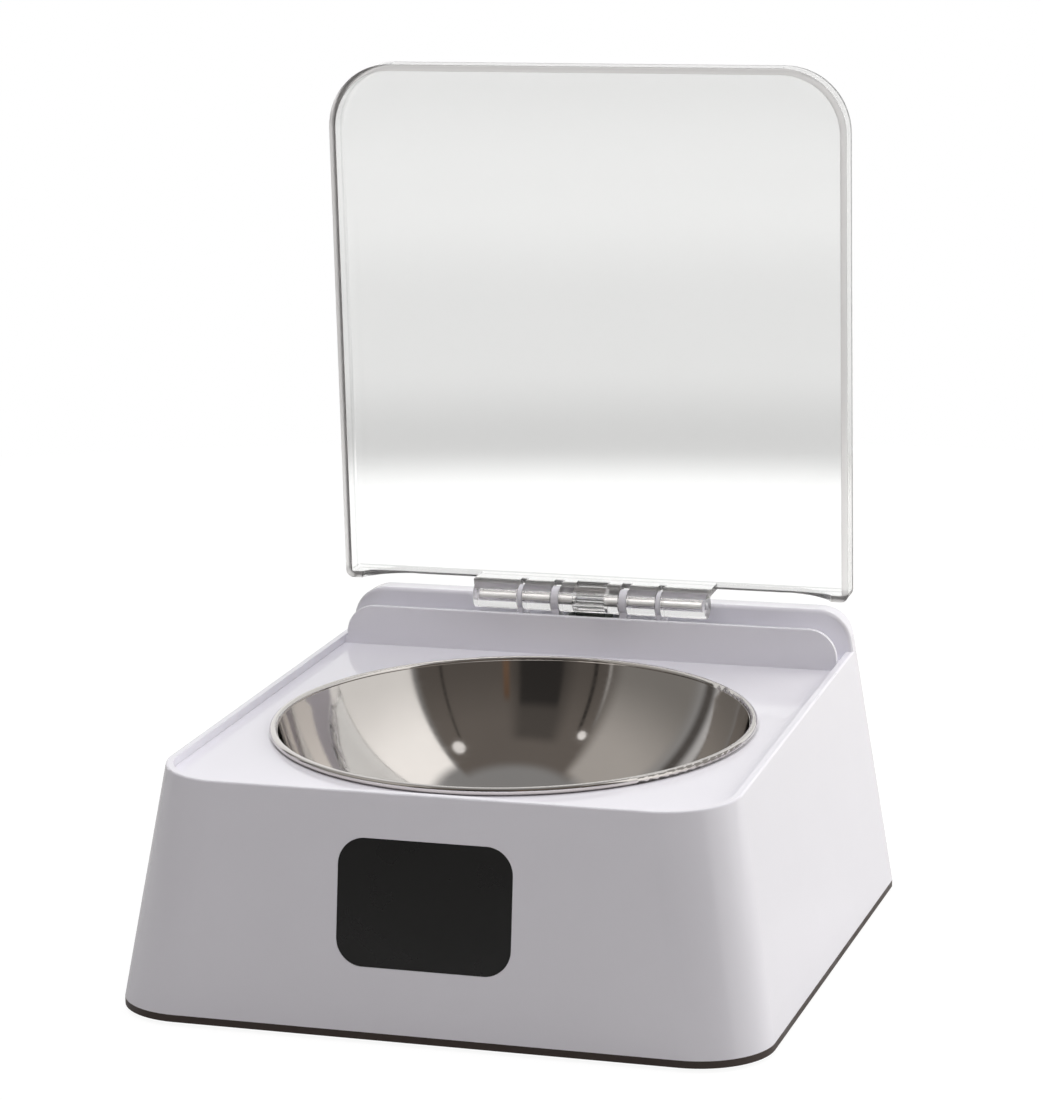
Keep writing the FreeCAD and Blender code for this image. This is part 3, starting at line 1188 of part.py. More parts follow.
def lid():
    """Clear lid: flat panel with a skirt, five hinge knuckles and moulded teeth."""
    low = HINGE_Z + LID_HINGE_RISE
    high = low + LID_LENGTH
    face_y = HINGE_Y + LID_HINGE_BACK
    back_y = face_y + LID_DEPTH

    def sheet(inset, y, depth):
        outline = rounded_outline(LID_WIDTH / 2 - inset, -high + inset, -low - inset,
                                  LID_CORNER - inset, max(LID_REAR_CORNER - inset, LID_INNER_CORNER), 0)
        block = Part.Face(outline).extrude(V(0, 0, depth))
        block.rotate(V(0, 0, 0), X_AXIS, -90)
        block.translate(V(0, y, 0))
        return block

    cover = sheet(0, face_y, LID_DEPTH)
    cover = cover.makeFillet(LID_EDGE_ROUND, pick_edges(cover, lambda b: b.YMin > back_y - TINY))
    cover = cover.cut(sheet(LID_WALL, face_y - PAST, LID_DEPTH - LID_WALL + PAST))

    full = LID_WIDTH / 2 - LID_HOOK
    inner_y = back_y - LID_WALL
    web = OUTER_KNUCKLE_X[1] + LID_WEB
    front_y = face_y - PAST
    turn_y = face_y + LID_CUT_BEND_DEPTH * (inner_y - face_y)
    cut_z = low - PAST
    for side in (-1, 1):
        start = V(side * full, front_y, cut_z)
        turn = V(side * (full - LID_CUT_BEND_SIDE * LID_CUT_RUN), turn_y, cut_z)
        end = V(side * (full - LID_CUT_RUN), inner_y, cut_z)
        web_rear = V(side * web, inner_y, cut_z)
        web_front = V(side * web, front_y, cut_z)
        edges = [
            Part.Arc(start, turn, end).toShape(),
            Part.LineSegment(end, web_rear).toShape(),
            Part.LineSegment(web_rear, web_front).toShape(),
            Part.LineSegment(web_front, start).toShape(),
        ]
        cover = cover.cut(Part.Face(Part.Wire(edges)).extrude(V(0, 0, LID_WALL + PAST + TINY)))

    apron = box(-web, web, HINGE_Y, face_y + LID_WEB, low, low + LID_WALL)
    cover = cover.fuse(apron)
    spans = [(-CENTRE_KNUCKLE / 2, LID_TEETH_X[0]), (LID_TEETH_X[1], CENTRE_KNUCKLE / 2)]
    for side in (-1, 1):
        spans += [mirrored(INNER_KNUCKLE_X, side), mirrored(OUTER_KNUCKLE_X, side)]
    for span in spans:
        cover = cover.fuse(cross_rod(KNUCKLE_RADIUS, LID_AXIS, *span))
    reach = KNUCKLE_RADIUS + KNUCKLE_CUT
    rear_y = HINGE_Y + KNUCKLE_RADIUS + KNUCKLE_REAR_CLEAR
    for span in (INNER_POST_X, OUTER_POST_X):
        for side in (-1, 1):
            x0, x1 = mirrored(span, side)
            cover = cover.cut(box(x0 - KNUCKLE_GAP, x1 + KNUCKLE_GAP, HINGE_Y - reach, rear_y,
                                  HINGE_Z - reach, HINGE_Z + reach))
    cover = cover.cut(box(*LID_TEETH_X, HINGE_Y - TOOTH_CUT, rear_y, HINGE_Z - TOOTH_CUT, HINGE_Z + TOOTH_CUT))
    cover = cover.fuse(gear(LID_TEETH, LID_AXIS, LID_TEETH_X[0], LID_TEETH_X[1], 0))
    for side in (-1, 1):
        bore = (CENTRE_KNUCKLE / 2 - PIN_REACH - PIN_END_GAP, OUTER_KNUCKLE_X[1] - KNUCKLE_END + PIN_END_GAP)
        cover = cover.cut(cross_rod(PIN_RADIUS + PIN_RUNNING, LID_AXIS, *mirrored(bore, side)))
    cover = cover.removeSplitter()
    cover.rotate(V(0, HINGE_Y, HINGE_Z), X_AXIS, LID_LEAN)
    return cover


# Wires, each a bundle kept to straight runs and tangent arcs

def wire(name, points, diameter=WIRE_DIAMETER):
    """Tube along a route, each corner rounded as far as its two runs allow."""
    route = [V(*p) for p in points]
    edges = []
    radii = []
    here = route[0]
    for before, corner, after in zip(route, route[1:], route[2:]):
        into = (corner - before).normalize()
        out = (after - corner).normalize()
        turn = math.acos(max(-1.0, min(1.0, into.dot(out))))
        reach = BEND_SHARE * min((corner - before).Length, (after - corner).Length)
        radii.append(reach / math.tan(turn / 2))
        start = corner - into * reach
        end = corner + out * reach
        bisector = (out - into).normalize()
        centre = corner + bisector * (reach / math.tan(turn / 2) / math.cos(turn / 2))
        middle = centre - bisector * radii[-1]
        edges.append(Part.LineSegment(here, start).toShape())
        edges.append(Part.Arc(start, middle, end).toShape())
        here = end
    edges.append(Part.LineSegment(here, route[-1]).toShape())
    path = Part.Wire(edges)
    direction = route[1] - route[0]
    section = Part.Wire([Part.makeCircle(diameter / 2, route[0], direction)])
    tube = path.makePipeShell([section], True, False)
    ratio = tube.Volume / (math.pi * diameter ** 2 / 4 * path.Length)
    print(name, "radii", [round(r, 1) for r in radii], "volume ratio", round(ratio, 4))
    return tube


def sensor_wires():
    """From the sensor board down and back to the control board."""
    start = front_wall_point(WINDOW_RISE - 12.0, SENSOR_BOARD_BACK + BOARD_THICKNESS)
    x, y = CONNECTORS["sensor"]
    return wire("sensor_wires", [
        (14, start.y, start.z), (14, start.y + 8, start.z - 1), (24, start.y + 16, start.z - 8),
        (40, start.y + 24, start.z - 8), (x - 3, y - 26, CONNECTOR_TOP + 6), (x, y - 10, CONNECTOR_TOP + 8),
        (x, y, CONNECTOR_TOP + 8), (x, y, CONNECTOR_TOP)])


def battery_wires():
    """From the battery bay's wall to the control board."""
    x, y = CONNECTORS["battery"]
    wall_x = BAY_HALF_X + BAY_WALL
    top = CONNECTOR_TOP + 6
    return wire("battery_wires", [
        (wall_x, y, BAY_TOP - 6), (wall_x + 5, y, BAY_TOP - 6), (wall_x + 9, y, top), (x, y, top + 1),
        (x, y, CONNECTOR_TOP)])


def motor_wires():
    """From the motor's tail to the control board, round the front of the gearbox stand."""
    tail = (-PLATE_HALF_SPAN - PLATE - MOTOR_LENGTH - MOTOR_TAIL, MOTOR_AXIS[0], MOTOR_AXIS[1])
    x, y = CONNECTORS["motor"]
    return wire("motor_wires", [
        (tail[0], tail[1], tail[2]), (tail[0] - 7, tail[1], tail[2]), (tail[0] - 9, tail[1] - 8, 36),
        (tail[0] + 2, tail[1] - 20, 22), (tail[0] + 18, tail[1] - 28, 16), (0, tail[1] - 31, 14),
        (24, tail[1] - 34, 14), (44, tail[1] - 46, 18), (x, y + 20, CONNECTOR_TOP + 8),
        (x, y, CONNECTOR_TOP + 8), (x, y, CONNECTOR_TOP)])


def switch_wires():
    """From the power switch to the control board."""
    centre = power_centre()
    back = centre.y - POWER_WALL_GAP - POWER_BODY_DEPTH
    x, y = CONNECTORS["switch"]
    return wire("switch_wires", [
        (centre.x, back, centre.z), (centre.x, back - 9, centre.z), (centre.x + 4, back - 22, centre.z - 6),
        (x + 3, y + 42, CONNECTOR_TOP + 6), (x, y + 22, CONNECTOR_TOP + 7),
        (x, y, CONNECTOR_TOP + 7), (x, y, CONNECTOR_TOP)])


def build():
    """All nodes by name."""
    nodes = {
        "upper_housing": upper_housing(),
        "base_plate": base_plate(),
        "base_screws": base_screws(),
        "battery_door": battery_door(),
        "battery_contacts": battery_contacts() + battery_studs(),
        "battery_springs": battery_springs(),
        "sensor_window": sensor_window(),
        "sensor_board": sensor_board(),
        "ir_emitter": sensor_lamp(-LED_SPACING / 2),
        "ir_receiver": sensor_lamp(LED_SPACING / 2),
        "control_board": control_board(),
        "control_chip": control_chip(),
        "board_capacitors": board_capacitors(),
        "board_connectors": board_connectors(),
        "board_screws": board_screws(),
        "power_switch_body": power_switch_body(),
        "power_switch_knob": power_switch_knob(),
        "gearbox_case": gearbox_case(),
        "gearbox_cover": gearbox_cover(),
        "gearbox_screws": gearbox_screws(),
        "gear_axles": gear_axles(),
        "output_gear": output_gear(),
        "second_gear": second_gear(),
        "third_gear": third_gear(),
        "fourth_gear": fourth_gear(),
        "motor_rotor": motor_rotor(),
        "drive_motor": drive_motor(),
        "limit_switch": limit_switch(),
        "limit_switch_plunger": limit_switch_plunger(),
        "hinge_pin_left": hinge_pin(-1),
        "hinge_pin_right": hinge_pin(1),
        "lid": lid(),
        "steel_bowl": steel_bowl(),
        "sensor_wires": sensor_wires(),
        "battery_wires": battery_wires(),
        "motor_wires": motor_wires(),
        "switch_wires": switch_wires(),
    }
    for name, (x, y) in foot_places().items():
        nodes[name] = foot(x, y)
    for number, (y, nub_side) in enumerate(cell_places(), start=1):
        nodes["battery_" + str(number)] = cell(y, nub_side)
    return nodes


def main():
    """Write one STEP file per node."""
    os.makedirs("parts", exist_ok=True)
    for name, shape in build().items():
        if isinstance(shape, list):
            shape = Part.makeCompound(shape)
        bad = not shape.isValid()
        print(name, len(shape.Solids), round(shape.Volume), "INVALID" if bad else "")
        shape.exportStep("parts/" + name + ".step")


main()
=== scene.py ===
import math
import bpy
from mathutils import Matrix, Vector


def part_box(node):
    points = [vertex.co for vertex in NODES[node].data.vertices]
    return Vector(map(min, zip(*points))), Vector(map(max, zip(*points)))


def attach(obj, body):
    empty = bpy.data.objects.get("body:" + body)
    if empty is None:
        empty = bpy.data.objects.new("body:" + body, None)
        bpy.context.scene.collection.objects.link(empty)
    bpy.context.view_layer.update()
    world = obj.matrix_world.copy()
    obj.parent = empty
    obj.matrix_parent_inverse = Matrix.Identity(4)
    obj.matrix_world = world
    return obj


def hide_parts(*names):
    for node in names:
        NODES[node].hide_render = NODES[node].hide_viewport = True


bl_info = {
    "name": "Motion sensor pet bowl",
    "version": (1, 0, 0),
    "blender": (4, 5, 0),
    "location": "3D View > Sidebar > Pet Bowl",
    "description": "Finishes the pieces of a motion sensor pet bowl and sets up its studio",
    "category": "Object",
}

import bmesh
import bpy
from mathutils import Matrix, Vector

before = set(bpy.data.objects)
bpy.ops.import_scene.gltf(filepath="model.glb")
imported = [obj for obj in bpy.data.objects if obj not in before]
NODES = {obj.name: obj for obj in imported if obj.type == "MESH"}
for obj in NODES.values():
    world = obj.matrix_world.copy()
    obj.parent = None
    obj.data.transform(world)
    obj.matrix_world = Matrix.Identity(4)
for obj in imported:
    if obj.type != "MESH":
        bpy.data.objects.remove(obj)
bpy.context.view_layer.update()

MM = 0.001

# The photograph's frame and the camera that was fitted to it
PHOTO_WIDTH = 1043
PHOTO_HEIGHT = 1100
FOCAL_PIXELS = 3623.7
SENSOR_MM = 36.0
CAMERA_TARGET = (0.96 * MM, 0.31 * MM, 151.76 * MM)

# Lid as it stands at rest: its hinge axis, its lean, its narrow faces and its foot
LID_AXIS = (0.0, 98.228 * MM, 113.8 * MM)
LID_LEAN = math.radians(3.9)
LID_FACE = 1.8 * MM
LID_FOOT = 3.85 * MM


# Node helpers

def add(tree, kind, values=None, **settings):
    """New node with some of its sockets and settings filled in."""
    node = tree.nodes.new(kind)
    for key, value in settings.items():
        setattr(node, key, value)
    for key, value in (values or {}).items():
        if isinstance(value, bpy.types.NodeSocket):
            tree.links.new(value, node.inputs[key])
        else:
            node.inputs[key].default_value = value
    return node


def rgba(colour, alpha=1.0):
    """Colour with alpha, for a socket."""
    return (colour[0], colour[1], colour[2], alpha)


def shade(colour, factor):
    """Colour made lighter or darker."""
    return tuple(min(1.0, channel * factor) for channel in colour[:3])


def surface(name, colour, roughness, **values):
    """Material with one Principled shader; returns it with its tree and shader."""
    material = bpy.data.materials.new(name)
    material.use_nodes = True
    tree = material.node_tree
    tree.nodes.clear()
    shader = add(tree, "ShaderNodeBsdfPrincipled", {"Base Color": rgba(colour), "Roughness": roughness})
    for key, value in values.items():
        shader.inputs[key.replace("_", " ").title().replace("Ior", "IOR")].default_value = value
    output = add(tree, "ShaderNodeOutputMaterial")
    tree.links.new(shader.outputs["BSDF"], output.inputs["Surface"])
    return material, tree, shader


def noise(tree, size, detail=2.0, stretch=(1.0, 1.0, 1.0), roughness=0.5):
    """Noise whose features are about one size, in metres, on the object's own coordinates."""
    place = add(tree, "ShaderNodeTexCoord")
    scaled = add(tree, "ShaderNodeVectorMath", {0: place.outputs["Object"], 1: stretch}, operation="MULTIPLY")
    return add(tree, "ShaderNodeTexNoise", {
        "Vector": scaled.outputs["Vector"], "Scale": 1.0 / size, "Detail": detail, "Roughness": roughness})


def spread(tree, factor, low, high):
    """Noise turned into a range."""
    return add(tree, "ShaderNodeMapRange", {
        "Value": factor, "From Min": 0.3, "From Max": 0.7, "To Min": low, "To Max": high}).outputs["Result"]


def vary_colour(tree, shader, factor, dark, light):
    """Let the base colour wander between two shades."""
    tree.links.new(mixed(tree, factor, rgba(dark), rgba(light)), shader.inputs["Base Color"])


def bumps(tree, shader, height, depth, strength=1.0):
    """Surface relief of a depth in metres."""
    bump = add(tree, "ShaderNodeBump", {"Height": height, "Distance": depth, "Strength": strength})
    tree.links.new(bump.outputs["Normal"], shader.inputs["Normal"])
    return bump


def dress(material, *names):
    """Give a CAD node its material."""
    for name in names:
        for slot in NODES[name].material_slots:
            slot.material = material


# Finishes

def moulded_plastic(name, colour, roughness, grain=0.0012, depth=0.000006, wander=0.015, **values):
    """Injection moulded plastic with a faint skin texture and slightly uneven gloss."""
    material, tree, shader = surface(name, colour, roughness, **values)
    broad = noise(tree, 0.035, 2.0)
    fine = noise(tree, grain, 3.0)
    vary_colour(tree, shader, broad.outputs["Fac"], shade(colour, 1.0 - wander), shade(colour, 1.0 + wander))
    gloss = spread(tree, noise(tree, 0.012, 4.0).outputs["Fac"], roughness * 0.82, roughness * 1.18)
    tree.links.new(gloss, shader.inputs["Roughness"])
    bumps(tree, shader, fine.outputs["Fac"], depth)
    return material


def metal(name, colour, roughness, streak=(1.0, 1.0, 1.0), grain=0.0004, depth=0.000003, **values):
    """Bare metal with fine drawn lines along one direction."""
    material, tree, shader = surface(name, colour, roughness, metallic=1.0, **values)
    lines = noise(tree, grain, 3.0, streak)
    broad = noise(tree, 0.02, 3.0)
    vary_colour(tree, shader, broad.outputs["Fac"], shade(colour, 0.95), shade(colour, 1.04))
    gloss = spread(tree, lines.outputs["Fac"], roughness * 0.75, roughness * 1.3)
    tree.links.new(gloss, shader.inputs["Roughness"])
    bumps(tree, shader, lines.outputs["Fac"], depth)
    return material


# Settings

class ShellFinish(bpy.types.PropertyGroup):
    """Housing and base plastics."""
    white: bpy.props.FloatVectorProperty(
        name="White", description="Colour of the gloss white housing", subtype="COLOR",
        default=(0.872, 0.866, 0.924), min=0.0, max=1.0)
    gloss: bpy.props.FloatProperty(
        name="Roughness", description="Roughness of the housing", subtype="FACTOR", default=0.1, min=0.0, max=1.0)
    base: bpy.props.FloatVectorProperty(
        name="Base", description="Colour of the dark base", subtype="COLOR",
        default=(0.046, 0.03, 0.023), min=0.0, max=1.0)


class LidFinish(bpy.types.PropertyGroup):
    """Clear lid."""
    tint: bpy.props.FloatVectorProperty(
        name="Tint", description="Colour the light keeps as it passes through thick stretches", subtype="COLOR",
        default=(0.55, 0.5, 0.49), min=0.0, max=1.0)
    density: bpy.props.FloatProperty(
        name="Density", description="How quickly thick stretches darken, per metre", default=4.0, min=0.0)
    clarity: bpy.props.FloatProperty(
        name="Clarity", description="Share of the light that passes through a face without haze", subtype="FACTOR",
        default=0.93, min=0.0, max=1.0)
    body: bpy.props.FloatVectorProperty(
        name="Body", description="Colour of the clear plastic's faces", subtype="COLOR",
        default=(1.0, 0.995, 0.99), min=0.0, max=1.0)
    # painted shade: this grey is laid on the lid's narrow faces in place of the darkness the clear edges show under
    # light
    edge: bpy.props.FloatVectorProperty(
        name="Edge", description="Colour of the narrow faces round the open side", subtype="COLOR",
        default=(0.7, 0.67, 0.66), min=0.0, max=1.0)
    ior: bpy.props.FloatProperty(
        name="Refractive index", description="Refractive index of the clear plastic", default=1.42, min=1.0, max=2.0)


class BowlFinish(bpy.types.PropertyGroup):
    """Steel bowl."""
    steel: bpy.props.FloatVectorProperty(
        name="Steel", description="Colour of the polished steel", subtype="COLOR",
        default=(0.72, 0.69, 0.665), min=0.0, max=1.0)
    polish: bpy.props.FloatProperty(
        name="Roughness", description="Roughness of the polished steel", subtype="FACTOR",
        default=0.07, min=0.0, max=1.0)


class StudioSetup(bpy.types.PropertyGroup):
    """Camera, lamps and backdrop."""
    azimuth: bpy.props.FloatProperty(
        name="Azimuth", description="Camera's turn to the right of the front", subtype="ANGLE",
        default=math.radians(16.73))
    elevation: bpy.props.FloatProperty(
        name="Elevation", description="Camera's height angle", subtype="ANGLE", default=math.radians(10.70))
    roll: bpy.props.FloatProperty(
        name="Roll", description="Camera's tilt about its own line of sight", subtype="ANGLE",
        default=math.radians(-0.35))
    distance: bpy.props.FloatProperty(
        name="Distance", description="Camera's distance from its target", unit="LENGTH", default=1.3248)
    ambient: bpy.props.FloatProperty(
        name="Room light", description="Level of the room's own light", default=1.0, min=0.0)
    lamp_level: bpy.props.FloatProperty(
        name="Lamps", description="Level of all softboxes together", default=1.0, min=0.0)


SETTINGS = {
    "pet_bowl_shell": ShellFinish,
    "pet_bowl_lid": LidFinish,
    "pet_bowl_bowl": BowlFinish,
    "pet_bowl_studio": StudioSetup,
}


# Housing, base, feet

class PETBOWL_OT_housing(bpy.types.Operator):
    """Finish the gloss white housing"""
    bl_idname = "petbowl.housing"
    bl_label = "White housing"

    def execute(self, context):
        look = context.scene.pet_bowl_shell
        material = moulded_plastic("gloss_white_moulding", tuple(look.white), look.gloss, grain=0.0016)
        dress(material, "upper_housing")
        return {"FINISHED"}


class PETBOWL_OT_base(bpy.types.Operator):
    """Finish the dark base plate and the battery door"""
    bl_idname = "petbowl.base"
    bl_label = "Base and battery door"

    def execute(self, context):
        colour = tuple(context.scene.pet_bowl_shell.base)
        material = moulded_plastic("textured_dark_moulding", colour, 0.45, grain=0.0007, depth=0.00004, wander=0.06)
        dress(material, "base_plate", "battery_door")
        return {"FINISHED"}


class PETBOWL_OT_feet(bpy.types.Operator):
    """Finish the rubber feet"""
    bl_idname = "petbowl.feet"
    bl_label = "Rubber feet"

    def execute(self, context):
        material = moulded_plastic("foot_rubber", (0.02, 0.02, 0.021), 0.7, grain=0.0005, depth=0.00003, wander=0.15)
        dress(material, "foot_front_left", "foot_front_right", "foot_rear_left", "foot_rear_right")
        return {"FINISHED"}


# Lid and hinge

class PETBOWL_OT_lid(bpy.types.Operator):
    """Finish the clear lid"""
    bl_idname = "petbowl.lid"
    bl_label = "Clear lid"

    def execute(self, context):
        look = context.scene.pet_bowl_lid
        material, tree, shader = surface("clear_moulding", (1.0, 1.0, 1.0), 0.02, transmission_weight=look.clarity)
        shader.inputs["IOR"].default_value = look.ior
        place = add(tree, "ShaderNodeTexCoord")
        from_axis = add(tree, "ShaderNodeVectorMath", {0: place.outputs["Object"], 1: LID_AXIS}, operation="SUBTRACT")
        back, up = (add(tree, "ShaderNodeVectorMath", {0: from_axis.outputs["Vector"], 1: axis}, operation="DOT_PRODUCT")
                    for axis in ((0.0, math.cos(LID_LEAN), math.sin(LID_LEAN)),
                                 (0.0, -math.sin(LID_LEAN), math.cos(LID_LEAN))))
        # the narrow faces round the open side are a little matt, and their grey base colour is painted shade for how
        # dark the clear edges look
        edge = ramp(tree, back.outputs["Value"], LID_FACE + 0.2 * MM, LID_FACE + 0.8 * MM, 1.0, 0.0)
        above = ramp(tree, up.outputs["Value"], LID_FOOT - 1.0 * MM, LID_FOOT, 0.0, 1.0)
        matt = math_node(tree, "MULTIPLY", edge, above)
        knuckle = math_node(tree, "SUBTRACT", 1.0, above)
        haze = spread(tree, noise(tree, 0.03, 4.0).outputs["Fac"], 0.0, 0.035)
        rough = math_node(tree, "MAXIMUM", math_node(tree, "MULTIPLY", matt, 0.35), math_node(tree, "MULTIPLY", knuckle, 0.08))
        tree.links.new(math_node(tree, "MAXIMUM", haze, rough), shader.inputs["Roughness"])
        # painted shade: grey base colour on the narrow faces, where the clear edges look dark
        tree.links.new(mixed(tree, matt, rgba(look.body), rgba(look.edge)), shader.inputs["Base Color"])
        ripple = noise(tree, 0.045, 1.0, (1.0, 1.0, 0.35))
        bumps(tree, shader, ripple.outputs["Fac"], 0.00012)
        depth = add(tree, "ShaderNodeVolumeAbsorption", {"Color": rgba(look.tint), "Density": look.density})
        output = next(n for n in tree.nodes if n.type == "OUTPUT_MATERIAL")
        tree.links.new(depth.outputs["Volume"], output.inputs["Volume"])
        dress(material, "lid")
        return {"FINISHED"}


class PETBOWL_OT_hinge_pins(bpy.types.Operator):
    """Finish the steel hinge pins"""
    bl_idname = "petbowl.hinge_pins"
    bl_label = "Hinge pins"

    def execute(self, context):
        material = metal("bright_pin_steel", (0.9, 0.89, 0.88), 0.38, streak=(0.1, 1.0, 1.0))
        dress(material, "hinge_pin_left", "hinge_pin_right")
        return {"FINISHED"}


# Bowl

class PETBOWL_OT_bowl(bpy.types.Operator):
    """Finish the polished steel bowl"""
    bl_idname = "petbowl.bowl"
    bl_label = "Steel bowl"

    def execute(self, context):
        look = context.scene.pet_bowl_bowl
        material = metal("polished_bowl_steel", tuple(look.steel), look.polish, streak=(1.0, 1.0, 4.0),
                         grain=0.006, depth=0.0000015)
        dress(material, "steel_bowl")
        return {"FINISHED"}


# Sensor

class PETBOWL_OT_sensor(bpy.types.Operator):
    """Finish the dark window, the sensor lamps and their board"""
    bl_idname = "petbowl.sensor"
    bl_label = "Sensor window"

    def execute(self, context):
        window = moulded_plastic("dark_window", (0.0065, 0.0065, 0.0065), 0.3, grain=0.002, depth=0.000003)
        dress(window, "sensor_window")
        lamp = moulded_plastic("tinted_lamp_body", (0.05, 0.03, 0.07), 0.08, grain=0.002, depth=0.000002)
        dress(lamp, "ir_emitter", "ir_receiver")
        dress(circuit_board("sensor_board_green"), "sensor_board")
        return {"FINISHED"}


def circuit_board(name):
    """Green solder mask over fine copper tracks."""
    mask = (0.01, 0.085, 0.035)
    material, tree, shader = surface(name, mask, 0.28)
    place = add(tree, "ShaderNodeTexCoord")
    tracks = add(tree, "ShaderNodeTexBrick", {
        "Vector": place.outputs["Object"], "Scale": 260.0, "Mortar Size": 0.06, "Brick Width": 1.7,
        "Row Height": 0.7, "Color1": rgba((0.0, 0.0, 0.0)), "Color2": rgba((0.0, 0.0, 0.0)),
        "Mortar": rgba((1.0, 1.0, 1.0))})
    vary_colour(tree, shader, tracks.outputs["Fac"], mask, (0.02, 0.17, 0.07))
    bumps(tree, shader, tracks.outputs["Fac"], 0.00003)
    return material


# Control board

class PETBOWL_OT_control_board(bpy.types.Operator):
    """Finish the control board and what is soldered to it"""
    bl_idname = "petbowl.control_board"
    bl_label = "Control board"

    def execute(self, context):
        dress(circuit_board("control_board_green"), "control_board")
        dress(moulded_plastic("chip_epoxy", (0.02, 0.02, 0.022), 0.55, grain=0.0004, depth=0.00001), "control_chip")
        dress(moulded_plastic("capacitor_sleeve", (0.03, 0.04, 0.1), 0.3), "board_capacitors")
        dress(moulded_plastic("cream_plug_socket", (0.78, 0.74, 0.62), 0.35), "board_connectors")
        return {"FINISHED"}


# Batteries

SPRING_WIRE = 0.3 * MM
SPRING_TURNS = 4.5
SPRING_FLAT_TURNS = 0.7
SPRING_TIP = 0.6
TURN_STEPS = 28
WIRE_SIDES = 12


def spring_places():
    """Axis, far end, near end and radius of each spring, from the plain cones that the CAD has there."""
    corners = [vertex.co for vertex in NODES["battery_springs"].data.vertices]
    pitch = 2 * (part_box("battery_1")[1][2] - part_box("battery_1")[0][2]) / 2 + 0.5 * MM
    rows = {}
    for corner in corners:
        rows.setdefault(math.floor(corner.y / pitch), []).append(corner)
    for row in rows.values():
        low = [min(corner[axis] for corner in row) for axis in range(3)]
        high = [max(corner[axis] for corner in row) for axis in range(3)]
        ends = (high[0], low[0]) if high[0] > 0 else (low[0], high[0])
        yield (low[1] + high[1]) / 2, (low[2] + high[2]) / 2, ends, (high[1] - low[1]) / 2


def coiled_spring(y, z, ends, radius):
    """Points and faces of one conical spring with flat end turns, standing between the plate and the cell."""
    run = ends[1] - ends[0]
    sign = 1.0 if run > 0 else -1.0
    start, travel = ends[0] + sign * SPRING_WIRE, run - 2 * sign * SPRING_WIRE
    steps = round(SPRING_TURNS * TURN_STEPS)
    centres, outward = [], []
    for step in range(steps + 1):
        turns = step / TURN_STEPS
        climb = (turns - SPRING_FLAT_TURNS) / (SPRING_TURNS - 2 * SPRING_FLAT_TURNS)
        climb = min(1.0, max(0.0, climb))
        climb = climb * climb * (3 - 2 * climb)
        reach = (radius - SPRING_WIRE) * (1.0 - (1.0 - SPRING_TIP) * turns / SPRING_TURNS)
        angle = 2 * math.pi * turns
        away = Vector((0.0, math.cos(angle), math.sin(angle)))
        centres.append(Vector((start + travel * climb, y, z)) + reach * away)
        outward.append(away)
    points, faces = [], []
    for step, (centre, away) in enumerate(zip(centres, outward)):
        along = (centres[min(step + 1, steps)] - centres[max(step - 1, 0)]).normalized()
        across = along.cross(away).normalized()
        for side in range(WIRE_SIDES):
            angle = 2 * math.pi * side / WIRE_SIDES
            points.append(centre + SPRING_WIRE * (math.cos(angle) * away + math.sin(angle) * across))
    for step in range(steps):
        for side in range(WIRE_SIDES):
            first, second = step * WIRE_SIDES + side, step * WIRE_SIDES + (side + 1) % WIRE_SIDES
            faces.append((first, second, second + WIRE_SIDES, first + WIRE_SIDES))
    faces.append(tuple(range(WIRE_SIDES))[::-1])
    faces.append(tuple(range(steps * WIRE_SIDES, (steps + 1) * WIRE_SIDES)))
    return points, faces


def coiled_springs(material):
    """All the cells' springs in place of the plain cones."""
    points, faces = [], []
    for y, z, ends, radius in spring_places():
        more, rings = coiled_spring(y, z, ends, radius)
        faces += [tuple(index + len(points) for index in face) for face in rings]
        points += more
    mesh = bpy.data.meshes.new("coiled_battery_springs")
    mesh.from_pydata(points, [], faces)
    mesh.materials.append(material)
    shells = bmesh.new()
    shells.from_mesh(mesh)
    bmesh.ops.recalc_face_normals(shells, faces=shells.faces)
    shells.to_mesh(mesh)
    shells.free()
    for face in mesh.polygons:
        face.use_smooth = len(face.vertices) == 4
    springs = bpy.data.objects.new("coiled_battery_springs", mesh)
    bpy.context.scene.collection.objects.link(springs)
    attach(springs, "housing")
    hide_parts("battery_springs")


class PETBOWL_OT_batteries(bpy.types.Operator):
    """Finish the cells and their contacts, and coil the springs"""
    bl_idname = "petbowl.batteries"
    bl_label = "Batteries"

    def execute(self, context):
        sleeve = moulded_plastic("cell_sleeve", (0.03, 0.035, 0.045), 0.25)
        dress(sleeve, *[name for name in NODES if name.startswith("battery_") and name[-1].isdigit()])
        dress(metal("contact_plate", (0.75, 0.73, 0.68), 0.25), "battery_contacts")
        coiled_springs(metal("spring_wire", (0.72, 0.71, 0.68), 0.2, grain=0.0003))
        return {"FINISHED"}


# Gear train

class PETBOWL_OT_gear_train(bpy.types.Operator):
    """Finish the gears, gearbox, motor and position switch"""
    bl_idname = "petbowl.gear_train"
    bl_label = "Gear train"

    def execute(self, context):
        acetal = moulded_plastic("natural_acetal", (0.78, 0.77, 0.71), 0.38, grain=0.0008, depth=0.000008)
        dress(acetal, "second_gear", "third_gear", "fourth_gear")
        dress(moulded_plastic("grey_acetal", (0.16, 0.175, 0.16), 0.38, grain=0.0008, depth=0.000008), "output_gear")
        grey = moulded_plastic("gearbox_grey", (0.28, 0.285, 0.29), 0.42, grain=0.0007, depth=0.00003)
        dress(grey, "gearbox_case", "gearbox_cover")
        dress(metal("brass_pinion", (0.78, 0.56, 0.24), 0.25), "motor_rotor")
        dress(metal("motor_can_steel", (0.6, 0.6, 0.58), 0.28, streak=(1.0, 0.15, 0.15)), "drive_motor")
        dress(moulded_plastic("black_switch_body", (0.02, 0.02, 0.021), 0.4), "limit_switch")
        dress(moulded_plastic("red_plunger", (0.42, 0.03, 0.02), 0.35), "limit_switch_plunger")
        return {"FINISHED"}


# Power switch

